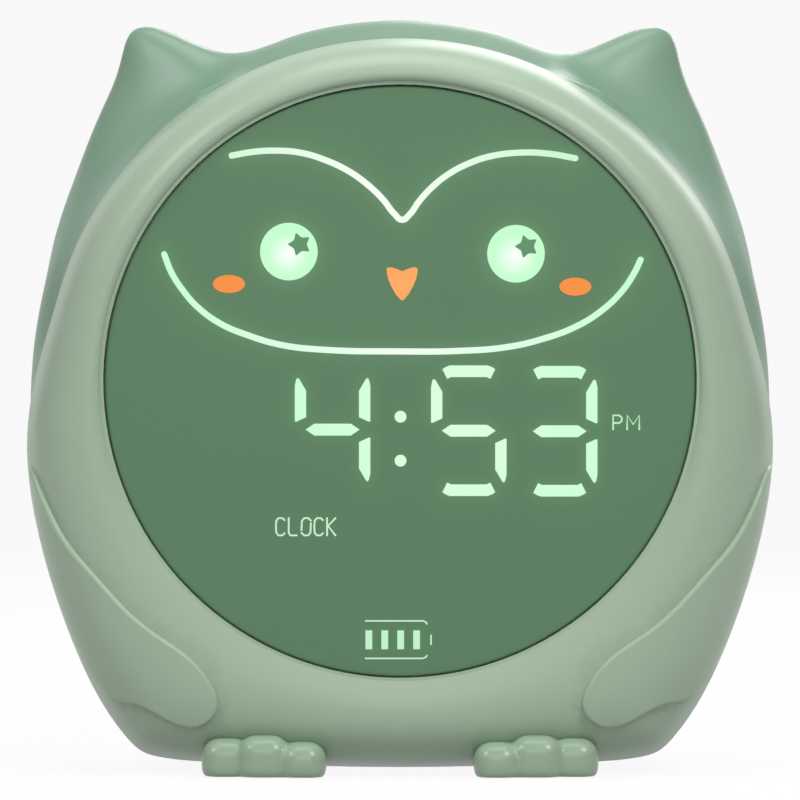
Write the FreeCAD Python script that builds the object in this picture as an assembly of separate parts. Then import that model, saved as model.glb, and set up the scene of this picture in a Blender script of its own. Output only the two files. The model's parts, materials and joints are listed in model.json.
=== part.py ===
import FreeCAD, Part
import math
import os
from FreeCAD import Vector

# Owl-shaped bedside clock with a lit face behind a round lens, as an assembly.
# Millimetres, +Z up, the face looks towards -Y, +X is the viewer's right.
# The origin is at the bottom centre of the whole clock.

# Size of the round head, from which the front ring, the waist and the ears follow
HEAD_RADIUS = 70.3
RING_SETBACK = 3.2
WAIST_SETBACK = 0.3

# Body outline in the parting plane between the front and the rear shell
WAIST_HALF = HEAD_RADIUS - WAIST_SETBACK
WAIST_Z = 65.0
RING_RADIUS = HEAD_RADIUS - RING_SETBACK
RING_CENTRE_Z = 70.9
SHOULDER_ANGLE = 12.5
SIDE_RADIUS = 101.0
CORNER_RADIUS = 9.0
BASE_Z = 1.0
BASE_CROWN_RADIUS = 550.0
PARTING_Y = -20.0
PARTING_STEP = 0.3
WALL = 2.2

# Rear shell: the head swells behind the parting plane, then closes to a flat back
HEAD_CENTRE_Z = 72.0
HEAD_WAIST_PROUD = 0.2
HEAD_WAIST_HALF = WAIST_HALF + HEAD_WAIST_PROUD
SWELL_Y = -8.0
BACK_Y = 38.5
DOME_DEPTH = 47.5
DOME_INSET = 45.0
DOME_POWER = 2.3
BASE_LIFT = 19.0
BASE_LIFT_POWER = 1.4

# Ears: an outer flank that leaves the head as a tangent, and a steep inner flank
EAR_OUTER_ANGLE = 22.0
EAR_OUTER_PROUD = 2.9
EAR_FULL_ANGLE = 30.0
EAR_INNER_ANGLE = 111.5
EAR_INNER_SETBACK = 22.7
EAR_TIP_SOFTNESS = 1.9
EAR_VALLEY_SOFTNESS = 0.9
EAR_TIP_Y = -1.0
EAR_FRONT_DEPTH = 11.0
EAR_REAR_DEPTH = 26.0
EAR_LEAN = 3.4
EAR_HOLLOW = 0.72

# Front ring and lens
LENS_Z = 73.5
LENS_RADIUS = 54.75
LENS_THICKNESS = 1.8
LENS_GAP = 0.25
LENS_SINK = 1.6
LENS_EDGE = 0.4
LIP_WIDTH = 0.6
RING_DEPTH = 16.0
BELLY_FULLNESS = 0.8
LEDGE_WIDTH = 2.6
LEDGE_THICKNESS = 1.5
LIP_TONGUE = 2.8
LIP_TONGUE_THICKNESS = 0.95
TONGUE_CLEARANCE = 0.1

# Wings raised on the lower front, as points from the right waist round to the side
WING_RISE = 1.3
WING_FORWARD = 0.9
WING_EDGE_RADIUS = 0.7
WING_PATTERN_HALF = 70.0
WING_OVERHANG = 20.0
WING_UPPER = ((72.5, 64.0), (68.6, 58.0), (65.4, 50.9), (61.2, 43.3), (57.0, 38.4), (46.6, 27.9), (39.5, 22.9),
              (35.0, 17.7), (33.8, 12.8), (36.6, 9.6), (41.8, 9.9), (46.6, 12.5), (50.6, 13.8))
WING_LOWER = ((50.6, 13.8), (53.4, 14.5), (57.8, 18.8), (60.8, 21.6), (66.0, 24.5))

# Display stack behind the lens
MASK_THICKNESS = 0.5
DIFFUSER_THICKNESS = 0.8
STACK_CLEARANCE = 0.3
BOX_DEPTH = 8.6
BOX_SETBACK = 1.65
BOX_WALL = 1.6
BOX_LOWER_RIB_DROP = 1.5
BOARD_THICKNESS = 1.6
DISPLAY_BOARD_MARGIN = 2.75
DISPLAY_BOSS_ANGLES = (8.0, 172.0, 228.0, 312.0)
DISPLAY_BOSS_OFFSET = 2.05
DISPLAY_BOSS_RADIUS = 2.6
POST_NOTCH_CLEARANCE = 0.6
SCREW_HOLE_CLEARANCE = 0.2
LED_SIZE = 2.8
LED_HEIGHT = 0.9

# Digits of the display, seven segments each
DIGIT_WIDTH = 14.0
DIGIT_HEIGHT = 24.2
DIGIT_STROKE = 2.1
DIGIT_GAP = 0.45
DIGIT_Z = 65.9
DIGIT_X = (-29.0, -12.9, 12.1, 29.1)
COLON_X = -0.3
COLON_RADIUS = 1.1
COLON_HALF_PITCH = 4.1

# Lit owl face
FACE_LINE = 1.1
BROW_POINTS = ((-31.4, 115.4), (-23.2, 116.1), (-12.7, 114.1), (-4.2, 108.1), (0.0, 103.3))
CHEEK_LINE_POINTS = ((-44.1, 97.0), (-40.9, 90.6), (-34.0, 84.1), (-22.8, 80.2), (0.0, 78.9))
EYE_X = 21.0
EYE_Z = 97.3
EYE_RADIUS = 5.35
CHEEK_X = 32.0
CHEEK_Z = 91.4
CHEEK_HALF_WIDTH = 3.0
CHEEK_HALF_HEIGHT = 1.65
BEAK_HALF_WIDTH = 2.9
BEAK_TOP_Z = 94.5
BEAK_TIP_Z = 88.3

# Case screws and their posts
CASE_POSTS = ((HEAD_RADIUS - 24.3, 112.0), (HEAD_RADIUS - 19.8, 30.0))
POST_RADIUS = 3.6
CASE_JOINT_Y = -6.0
WELL_RADIUS = 3.4
WELL_WALL = 1.5
WELL_FLOOR = 2.4
CASE_SCREW_RADIUS = 1.5
CASE_SCREW_HEAD_RADIUS = 2.8
CASE_SCREW_HEAD = 2.0
CASE_SCREW_REACH = 13.0
PILOT_CLEARANCE = 0.15

# Rear controls
BUTTON_WIDTH = 11.0
BUTTON_HEIGHT = 7.0
BUTTON_PITCH_X = 17.0
BUTTON_PITCH_Z = 12.0
BUTTON_COLUMNS = 3
BUTTON_LOW_Z = 82.0
BUTTON_PROUD = 1.5
BUTTON_GAP = 0.3
BUTTON_FLANGE = 1.1
BUTTON_FLANGE_THICKNESS = 1.0
BUTTON_TRAVEL = 0.8
BUTTON_REST_GAP = 0.3
BUTTON_EDGE = 0.6
TACT_SIZE = 6.0
TACT_PLUNGER_RADIUS = 1.6
TACT_PLUNGER = 0.8

# Speaker
SPEAKER_Z = 54.0
SPEAKER_RADIUS = 16.0
SPEAKER_DEPTH = 9.5
SPEAKER_FLANGE = 1.2
GASKET_THICKNESS = 0.8
GRILLE_SLOT = 1.6
GRILLE_PITCH = 3.6
GRILLE_RADIUS = 12.0
SPEAKER_BOSS_RADIUS = 2.2
SPEAKER_SCREW_REACH = 2.2
SPEAKER_SCREW_HEAD_RADIUS = 2.9
SPEAKER_SCREW_ANGLES = (90.0, 210.0, 330.0)
SPEAKER_SCREW_CLEARANCE = 0.3
SPEAKER_WALL = 1.0
SPEAKER_RIM = 2.4
MAGNET_SHARE = 0.55
MAGNET_DEPTH = 5.0
CONE_BASE_RADIUS = 3.0
CONE_RIM_GAP = 3.2
CONE_WALL = 0.6

# Charging socket and slide switch
USB_X = -15.0
PORT_Z = 31.0
USB_WIDTH = 8.94
USB_HEIGHT = 3.26
USB_WALL = 0.4
USB_LENGTH = 8.3
USB_SETBACK = 0.4
USB_TONGUE_WIDTH = 6.6
USB_TONGUE_THICKNESS = 0.7
PORT_CLEARANCE = 0.3
SWITCH_X = 15.0
SWITCH_TRAVEL = 3.0
SWITCH_KNOB_WIDTH = 4.0
SWITCH_KNOB_HEIGHT = 3.0
SWITCH_BODY_WIDTH = 13.0
SWITCH_BODY_HEIGHT = 6.0
SWITCH_BODY_DEPTH = 4.4
SWITCH_RECESS = 0.9
SWITCH_RECESS_MARGIN = 2.0
KNOB_GROOVE = 0.5
KNOB_GROOVE_PITCH = 1.1
KNOB_GROOVE_DEPTH = 0.5
KNOB_PROUD = 0.2

# Main board
MAIN_BOARD_REAR_Y = 29.7
MAIN_BOARD_HALF_WIDTH = 29.0
MAIN_BOARD_LOW_Z = 25.5
MAIN_BOARD_HIGH_Z = 101.5
MAIN_BOARD_POST_X = 26.0
MAIN_BOARD_POST_LOW_Z = 28.5
MAIN_BOARD_POST_HIGH_Z = 98.5
BOARD_POST_RADIUS = 2.4
SMALL_SCREW_RADIUS = 0.95
SMALL_SCREW_HEAD_RADIUS = 1.9
SMALL_SCREW_HEAD = 1.3
SMALL_SCREW_REACH = 4.5

# Battery
CELL_RADIUS = 9.1
CELL_LENGTH = 65.0
CELL_Y = 4.0
HOLDER_FLOOR = 1.4
HOLDER_WALL = 1.4
HOLDER_Z = 5.2
CELL_CLEARANCE = 0.3
CONTACT_THICKNESS = 0.5
CONTACT_WIDTH = 8.0
CONTACT_HEIGHT = 10.0
HOLDER_RIM = 2.0
HOLDER_FOOT_X = 26.0
HOLDER_FOOT_WIDTH = 6.0
HOLDER_FOOT_DEPTH = 18.0
HOLDER_FOOT_SINK = 1.5
HOLDER_SCREW_REACH = 2.4
HOLDER_SCREW_HEAD = 0.8

# Flat flex between the boards
FLEX_WIDTH = 12.0
FLEX_THICKNESS = 0.4
FLEX_FRONT_Z = 79.0
FLEX_MIDDLE_Z = 84.0
FLEX_REAR_Z = 92.0
FLEX_PLUG_WIDTH = 15.0
FLEX_PLUG_HEIGHT = 3.4
FLEX_PLUG_DEPTH = 2.2
FLEX_LEAD = 3.0

# Feet and pads
FOOT_X = 25.2
TOE_LENGTH = 15.0
TOE_FLOOR_Z = 0.25
TOE_ROUND = 3.4
TOE_UNDERCUT = 1.5
TOES = ((-7.2, 4.4, 6.7, -40.0), (0.0, 4.9, 7.9, -39.3), (7.0, 4.6, 7.3, -37.6))
TOE_WEB_DROP = 0.9
TOE_WEB_SETBACK = 0.8
HEEL_HALF_WIDTH = 8.0
HEEL_FRONT_Y = -34.0
HEEL_REAR_Y = -24.0
HEEL_TOP_Z = 5.0
PAD_RADIUS = 5.0
PAD_TOP_Z = 2.3
PAD_CLEARANCE = 0.1
PAD_EDGE = 0.4
PAD_X = 29.0
PAD_FRONT_Y = -13.0
PAD_REAR_Y = 17.0
FOOT_SCREW_Y = -28.5
FOOT_BOSS_RADIUS = 3.0
FOOT_SCREW_TIP_Z = 1.6

# Where the depth planes fall
CREST_Y = PARTING_Y - RING_DEPTH
LENS_FRONT_Y = CREST_Y + LENS_SINK
LENS_BACK_Y = LENS_FRONT_Y + LENS_THICKNESS
LEDGE_RADIUS = LENS_RADIUS - LEDGE_WIDTH
LEDGE_BACK_Y = LENS_BACK_Y + LEDGE_THICKNESS
MASK_BACK_Y = LENS_BACK_Y + MASK_THICKNESS
DIFFUSER_BACK_Y = MASK_BACK_Y + DIFFUSER_THICKNESS
BOX_BACK_Y = DIFFUSER_BACK_Y + BOX_DEPTH
DISPLAY_BOARD_BACK_Y = BOX_BACK_Y + BOARD_THICKNESS
STACK_RADIUS = LEDGE_RADIUS - STACK_CLEARANCE
BOX_RADIUS = LEDGE_RADIUS - BOX_SETBACK
DISPLAY_BOSS_CIRCLE = LEDGE_RADIUS + DISPLAY_BOSS_OFFSET
DISPLAY_BOARD_RADIUS = LENS_RADIUS + DISPLAY_BOARD_MARGIN
PANEL_INNER_Y = BACK_Y - WALL
MAIN_BOARD_FRONT_Y = MAIN_BOARD_REAR_Y - BOARD_THICKNESS
BUTTON_FLANGE_REAR_Y = PANEL_INNER_Y - 0.15
BUTTON_FLANGE_FRONT_Y = BUTTON_FLANGE_REAR_Y - BUTTON_FLANGE_THICKNESS
TACT_TOP_Y = BUTTON_FLANGE_FRONT_Y - BUTTON_TRAVEL - BUTTON_REST_GAP
SPEAKER_FRONT_Y = PANEL_INNER_Y - GASKET_THICKNESS

# Sample directions round the head, closer together over each ear
HEAD_ANGLES = (90.0, 81.0, 73.0, 67.0, 63.0, 59.5, 56.5, 53.5, 49.5, 43.0, 34.0, 24.0, SHOULDER_ANGLE)
SHOULDER_STEPS = 2
SIDE_STEPS = 3
CORNER_STEPS = 2
BASE_STEPS = 3


def polar(centre_x, centre_z, radius, degrees, y):
    """A point at a radius and angle round a centre, in the vertical plane at depth y."""
    turn = math.radians(degrees)
    return Vector(centre_x + radius * math.cos(turn), y, centre_z + radius * math.sin(turn))


def ear_rise(degrees):
    """How far the ear stands out of the head at an angle above the horizontal."""
    outer = (HEAD_RADIUS + EAR_OUTER_PROUD) / math.cos(math.radians(degrees - EAR_OUTER_ANGLE)) - HEAD_RADIUS
    inner_turn = max(-80.0, min(80.0, degrees - EAR_INNER_ANGLE))
    inner = (HEAD_RADIUS - EAR_INNER_SETBACK) / math.cos(math.radians(inner_turn)) - HEAD_RADIUS
    peak = -EAR_TIP_SOFTNESS * math.log(math.exp(-outer / EAR_TIP_SOFTNESS) + math.exp(-inner / EAR_TIP_SOFTNESS))
    foot_share = soft_step((degrees - SHOULDER_ANGLE) / (EAR_FULL_ANGLE - SHOULDER_ANGLE))
    return foot_share * EAR_VALLEY_SOFTNESS * math.log(1.0 + math.exp(peak / EAR_VALLEY_SOFTNESS))


def soft_step(value):
    """Rise smoothly from 0 to 1 as the value goes from 0 to 1."""
    value = max(0.0, min(1.0, value))
    return value * value * (3.0 - 2.0 * value)


def ear_share(y):
    """How much of the full ear stands at a depth."""
    if y < EAR_TIP_Y:
        return soft_step((y - EAR_TIP_Y + EAR_FRONT_DEPTH) / EAR_FRONT_DEPTH)
    return 1.0 - soft_step((y - EAR_TIP_Y) / EAR_REAR_DEPTH)


def outline(y, crown_radius, crown_z, waist_half, base_z, inset=0.0, ear=0.0):
    """Closed list of points round the body at depth y: crown, shoulders, sides, corners and base."""
    crown = crown_radius - inset
    waist = waist_half - inset
    floor = base_z + inset
    side = SIDE_RADIUS - inset
    corner = max(CORNER_RADIUS - inset, 2.0)
    points = []
    for degrees in HEAD_ANGLES:
        lean = EAR_LEAN * (1.0 - ear) * (degrees - SHOULDER_ANGLE) / (90.0 - SHOULDER_ANGLE)
        points.append(polar(0.0, crown_z, crown + ear * ear_rise(degrees - lean), degrees, y))
    start = polar(0.0, crown_z, crown, SHOULDER_ANGLE, y)
    reach = (start.z - WAIST_Z) / 3.0
    shoulder = Part.BezierCurve()
    leave = Vector(math.sin(math.radians(SHOULDER_ANGLE)), 0.0, -math.cos(math.radians(SHOULDER_ANGLE)))
    end = Vector(waist, y, WAIST_Z)
    shoulder.setPoles([start, start + leave * reach, end + Vector(0.0, 0.0, reach), end])
    for step in range(1, SHOULDER_STEPS + 1):
        points.append(shoulder.value(step / SHOULDER_STEPS))
    side_centre = Vector(waist - side, y, WAIST_Z)
    base_radius = BASE_CROWN_RADIUS - inset
    base_centre = Vector(0.0, y, floor + base_radius)
    corner_centre = crossing(side_centre, side - corner, base_centre, base_radius - corner)
    side_end = math.degrees(math.atan2(corner_centre.z - side_centre.z, corner_centre.x - side_centre.x))
    base_start = math.degrees(math.atan2(corner_centre.z - base_centre.z, corner_centre.x - base_centre.x))
    for step in range(1, SIDE_STEPS + 1):
        points.append(polar(side_centre.x, side_centre.z, side, side_end * step / SIDE_STEPS, y))
    for step in range(1, CORNER_STEPS + 1):
        degrees = side_end + (base_start - side_end) * step / CORNER_STEPS
        points.append(polar(corner_centre.x, corner_centre.z, corner, degrees, y))
    for step in range(1, BASE_STEPS + 1):
        degrees = base_start + (-90.0 - base_start) * step / BASE_STEPS
        points.append(polar(base_centre.x, base_centre.z, base_radius, degrees, y))
    left = [Vector(-point.x, point.y, point.z) for point in reversed(points[1:-1])]
    return points + left


def crossing(first, first_radius, second, second_radius):
    """Lower right crossing of two circles in a vertical plane."""
    apart = math.hypot(second.x - first.x, second.z - first.z)
    along = (first_radius ** 2 - second_radius ** 2 + apart ** 2) / (2.0 * apart)
    across = math.sqrt(first_radius ** 2 - along ** 2)
    unit_x = (second.x - first.x) / apart
    unit_z = (second.z - first.z) / apart
    choices = []
    for side in (-1.0, 1.0):
        x = first.x + along * unit_x - side * across * unit_z
        z = first.z + along * unit_z + side * across * unit_x
        choices.append(Vector(x, first.y, z))
    return min(choices, key=lambda point: point.z - point.x)


def parting_outline(y, inset=0.0):
    """Body outline in the parting plane, moved inwards by an inset."""
    return outline(y, RING_RADIUS, RING_CENTRE_Z, WAIST_HALF, BASE_Z, inset)


def spacing(points):
    """Shares of the way round at which a closed curve passes its points."""
    lengths = [0.0]
    for index, point in enumerate(points):
        lengths.append(lengths[-1] + point.distanceToPoint(points[(index + 1) % len(points)]))
    return [length / lengths[-1] for length in lengths]


OUTLINE_SPACING = spacing(parting_outline(PARTING_Y))


def ring_wire(points):
    """Smooth closed wire through an outline's points."""
    curve = Part.BSplineCurve()
    curve.interpolate(Points=points, PeriodicFlag=True, Parameters=OUTLINE_SPACING)
    return Part.Wire([curve.toShape()])


def skin(outlines):
    """Solid bounded by a smooth skin over outlines and a flat cap at each end."""
    return Part.makeLoft([ring_wire(points) for points in outlines], True, False)


def front_section(y, blend, rim_radius, inset=0.0, grow=0.0):
    """Outline between the round rim of the lens and the parting outline."""
    points = []
    for point in parting_outline(y, inset - grow):
        turn = math.degrees(math.atan2(point.z - LENS_Z, point.x))
        rim = polar(0.0, LENS_Z, rim_radius, turn, y)
        down = max(0.0, -math.sin(math.radians(turn)))
        full = blend ** (1.0 / (1.0 + BELLY_FULLNESS * down))
        points.append(rim * (1.0 - full) + point * full)
    return points


def front_outer(grow=0.0, forward=0.0):
    """Outside of the front shell as a solid: lens lip, rounded crest, belly and parting edge."""
    rim = LENS_RADIUS + LENS_GAP + LIP_WIDTH
    stations = ((0.0, 0.07), (0.16, 0.0), (0.40, 0.06), (0.68, 0.26), (0.88, 0.58), (1.0, 1.0))
    outlines = []
    for blend, depth in stations:
        fade = grow * (1.0 - blend ** 8)
        y = CREST_Y + RING_DEPTH * depth - forward * (1.0 - depth)
        outlines.append(front_section(y, blend, rim, grow=fade))
    return skin(outlines)


def front_inner():
    """Hollow of the front shell, one wall inside its outside."""
    rim = LENS_RADIUS + LENS_GAP
    outlines = [front_section(LEDGE_BACK_Y, 0.0, rim)]
    for blend, depth in ((0.45, 0.27), (0.72, 0.47), (0.90, 0.75), (1.0, 1.0)):
        outlines.append(front_section(CREST_Y + RING_DEPTH * depth, blend, rim, inset=WALL))
    return skin(outlines)


def rear_outline(y, inset=0.0, hollow=1.0):
    """Outline of the rear shell at a depth behind the parting plane."""
    lead = soft_step((y - PARTING_Y) / (SWELL_Y - PARTING_Y))
    depth = max(0.0, y - SWELL_Y) / DOME_DEPTH
    closing = DOME_INSET * (1.0 - (1.0 - depth ** DOME_POWER) ** (1.0 / DOME_POWER))
    lift = BASE_LIFT * (closing / 33.0) ** BASE_LIFT_POWER
    crown = RING_RADIUS - PARTING_STEP + (HEAD_RADIUS - RING_RADIUS + PARTING_STEP) * lead
    crown_z = RING_CENTRE_Z + (HEAD_CENTRE_Z - RING_CENTRE_Z) * lead
    waist = WAIST_HALF - PARTING_STEP + (HEAD_WAIST_HALF - WAIST_HALF + PARTING_STEP) * lead
    floor = BASE_Z + PARTING_STEP * (1.0 - lead)
    ear = ear_share(y) * hollow
    return outline(y, crown - closing, crown_z, waist - closing, floor + lift, inset, ear)


def rear_outer():
    """Outside of the rear shell as a solid, with both ears."""
    depths = (PARTING_Y, -15.5, -11.0, -6.0, EAR_TIP_Y, 8.0, 17.0, 26.0, 33.0, 36.8, BACK_Y)
    return skin([rear_outline(y) for y in depths])


def rear_inner():
    """Hollow of the rear shell, one wall inside its outside."""
    depths = (PARTING_Y, -10.0, 0.0, 12.0, 24.0, 32.0, PANEL_INNER_Y)
    outlines = []
    for y in depths:
        outlines.append(rear_outline(y, inset=WALL, hollow=EAR_HOLLOW))
    return skin(outlines)


def rod(radius, y_from, y_to, x, z):
    """Round bar along the depth."""
    return Part.makeCylinder(radius, y_to - y_from, Vector(x, y_from, z), Vector(0.0, 1.0, 0.0))


def tube(outer, inner, y_from, y_to, x, z):
    """Round tube along the depth."""
    return rod(outer, y_from, y_to, x, z).cut(rod(inner, y_from, y_to, x, z))


def block(x, y, z):
    """Box from three pairs of limits."""
    return Part.makeBox(x[1] - x[0], y[1] - y[0], z[1] - z[0], Vector(x[0], y[0], z[0]))


def pill(width, height, y_from, y_to, x, z):
    """Bar along the depth with a section of straight sides and round ends."""
    radius = min(width, height) / 2.0
    half_x = width / 2.0 - radius
    half_z = height / 2.0 - radius
    bar = rod(radius, y_from, y_to, x - half_x, z - half_z)
    bar = bar.fuse(rod(radius, y_from, y_to, x + half_x, z + half_z))
    if half_x > 0.0:
        middle = block((x - half_x, x + half_x), (y_from, y_to), (z - radius, z + radius))
    else:
        middle = block((x - radius, x + radius), (y_from, y_to), (z - half_z, z + half_z))
    return bar.fuse(middle).removeSplitter()


def joined(solids):
    """One solid from several that overlap."""
    first = solids[0]
    return first.fuse(solids[1:]).removeSplitter()


def mirrored(shape):
    """The same shape on the other side of the clock."""
    return shape.mirror(Vector(0.0, 0.0, 0.0), Vector(1.0, 0.0, 0.0))


def case_post_places():
    """Places of the four case screws as (x, z)."""
    return [(side * x, z) for x, z in CASE_POSTS for side in (-1.0, 1.0)]


def display_boss_places():
    """Places of the four display screws as (x, z)."""
    places = []
    for degrees in DISPLAY_BOSS_ANGLES:
        place = polar(0.0, LENS_Z, DISPLAY_BOSS_CIRCLE, degrees, 0.0)
        places.append((place.x, place.z))
    return places


def screw(radius, head_radius, head_length, reach, x, z, seat_y, towards):
    """Pan-head screw along the depth: head behind the seat, shank reaching towards +Y or -Y."""
    start = seat_y if towards > 0 else seat_y - reach
    shank = rod(radius, start, start + reach, x, z)
    head_start = seat_y - head_length if towards > 0 else seat_y
    head = rod(head_radius, head_start, head_start + head_length, x, z)
    slot_y = head_start if towards > 0 else head_start + head_length / 2.0
    slot = block((x - head_radius, x + head_radius), (slot_y, slot_y + head_length / 2.0), (z - 0.3, z + 0.3))
    return head.cut(slot).fuse(shank)


def wing_prism():
    """Region of the right wing, ending in two feather tips, as a prism along the depth."""
    spread = WAIST_HALF / WING_PATTERN_HALF
    upper = [Vector(x * spread, 0.0, z) for x, z in WING_UPPER]
    lower = [Vector(x * spread, 0.0, z) for x, z in WING_LOWER]
    inner_edge = Part.BSplineCurve()
    inner_edge.interpolate(upper)
    tip_edge = Part.BSplineCurve()
    tip_edge.interpolate(lower)
    beyond = upper[0].x + WING_OVERHANG
    outside = Part.makePolygon([lower[-1], Vector(beyond, 0.0, lower[-1].z), Vector(beyond, 0.0, upper[0].z), upper[0]])
    edges = [inner_edge.toShape(), tip_edge.toShape()] + outside.Edges
    face = Part.Face(Part.Wire(Part.__sortEdges__(edges)))
    front = CREST_Y - WING_FORWARD - 1.0
    face.translate(Vector(0.0, front, 0.0))
    return face.extrude(Vector(0.0, PARTING_Y - front, 0.0))


def wing_pad():
    """Right wing: the skin moved outwards within the wing's region, with a rounded border."""
    pad = front_outer(WING_RISE, WING_FORWARD).common(wing_prism()).Solids[0]
    border = [edge for edge in pad.Edges if edge.BoundBox.YMin < PARTING_Y - 0.5 and edge.BoundBox.XLength > 1.0]
    return pad.makeFillet(WING_EDGE_RADIUS, border)


def foot_screw_seat():
    """Height of the boss tops inside the front shell on which the foot screws seat."""
    probe = Part.makeLine(Vector(FOOT_X, FOOT_SCREW_Y - FOOT_BOSS_RADIUS, -5.0),
                          Vector(FOOT_X, FOOT_SCREW_Y - FOOT_BOSS_RADIUS, 30.0))
    return front_inner().common(probe).BoundBox.ZMin + 0.3


def front_shell():
    """Front moulding: ring, belly, wings, lens seat, joint tongue and screw bosses."""
    outer = front_outer()
    pad = wing_pad()
    shell = outer.fuse([pad, mirrored(pad)])
    shell = shell.cut(front_inner())
    tongue = skin([parting_outline(PARTING_Y - 1.0, WALL - LIP_TONGUE_THICKNESS),
                   parting_outline(PARTING_Y + LIP_TONGUE, WALL - LIP_TONGUE_THICKNESS)])
    tongue = tongue.cut(skin([parting_outline(PARTING_Y - 1.0, WALL), parting_outline(PARTING_Y + LIP_TONGUE, WALL)]))
    additions = [tongue]
    for x, z in case_post_places():
        additions.append(rod(POST_RADIUS, CREST_Y + 2.0, CASE_JOINT_Y, x, z).common(
            front_outer().fuse(block((-80.0, 80.0), (PARTING_Y - 0.5, 20.0), (0.0, 150.0)))))
    for x, z in display_boss_places():
        additions.append(rod(DISPLAY_BOSS_RADIUS, LEDGE_BACK_Y - 0.5, BOX_BACK_Y, x, z))
    seat_z = foot_screw_seat()
    for side in (-1.0, 1.0):
        boss = Part.makeCylinder(FOOT_BOSS_RADIUS, seat_z, Vector(side * FOOT_X, FOOT_SCREW_Y, 0.0))
        additions.append(boss.common(outer))
    shell = shell.fuse(additions)
    cuts = [rod(LENS_RADIUS + LENS_GAP, CREST_Y - 2.0, LENS_BACK_Y, 0.0, LENS_Z),
            rod(LEDGE_RADIUS, CREST_Y - 2.0, LEDGE_BACK_Y + 1.0, 0.0, LENS_Z)]
    for x, z in case_post_places():
        depth = CASE_SCREW_REACH - WELL_FLOOR + 1.0
        cuts.append(rod(CASE_SCREW_RADIUS + PILOT_CLEARANCE, CASE_JOINT_Y - depth, CASE_JOINT_Y + 1.0, x, z))
    for x, z in display_boss_places():
        cuts.append(rod(SMALL_SCREW_RADIUS + PILOT_CLEARANCE, BOX_BACK_Y - SMALL_SCREW_REACH, BOX_BACK_Y + 1.0, x, z))
    for side in (-1.0, 1.0):
        cuts.append(Part.makeCylinder(SMALL_SCREW_RADIUS + PILOT_CLEARANCE, 20.0,
                                      Vector(side * FOOT_X, FOOT_SCREW_Y, 0.0), Vector(0.0, 0.0, 1.0)))
    return shell.cut(cuts)


def button_places():
    """Places of the rear buttons as (name, x, z), two rows of three."""
    names = ("mode", "set", "light", "down", "up", "sound")
    places = []
    for index, name in enumerate(names):
        row, column = divmod(index, BUTTON_COLUMNS)
        x = (column - (BUTTON_COLUMNS - 1) / 2.0) * BUTTON_PITCH_X
        places.append((name, x, BUTTON_LOW_Z + row * BUTTON_PITCH_Z))
    return places


def main_board_places():
    """Places of the main board's four posts as (x, z)."""
    return [(side * MAIN_BOARD_POST_X, z) for z in (MAIN_BOARD_POST_LOW_Z, MAIN_BOARD_POST_HIGH_Z) for side in (-1, 1)]


def speaker_boss_places():
    """Places of the speaker's three clamping screws as (x, z)."""
    places = []
    reach = SPEAKER_RADIUS + SPEAKER_BOSS_RADIUS + SPEAKER_SCREW_CLEARANCE
    for degrees in SPEAKER_SCREW_ANGLES:
        place = polar(0.0, SPEAKER_Z, reach, degrees, 0.0)
        places.append((place.x, place.z))
    return places


def grille():
    """Slots of the speaker grille, cut to a circle."""
    slots = []
    count = int(GRILLE_RADIUS // GRILLE_PITCH)
    for index in range(-count, count + 1):
        z = SPEAKER_Z + index * GRILLE_PITCH
        half = math.sqrt(GRILLE_RADIUS ** 2 - (index * GRILLE_PITCH) ** 2)
        slots.append(pill(2.0 * half, GRILLE_SLOT, PANEL_INNER_Y - 1.0, BACK_Y + 1.0, 0.0, z))
    return slots


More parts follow.
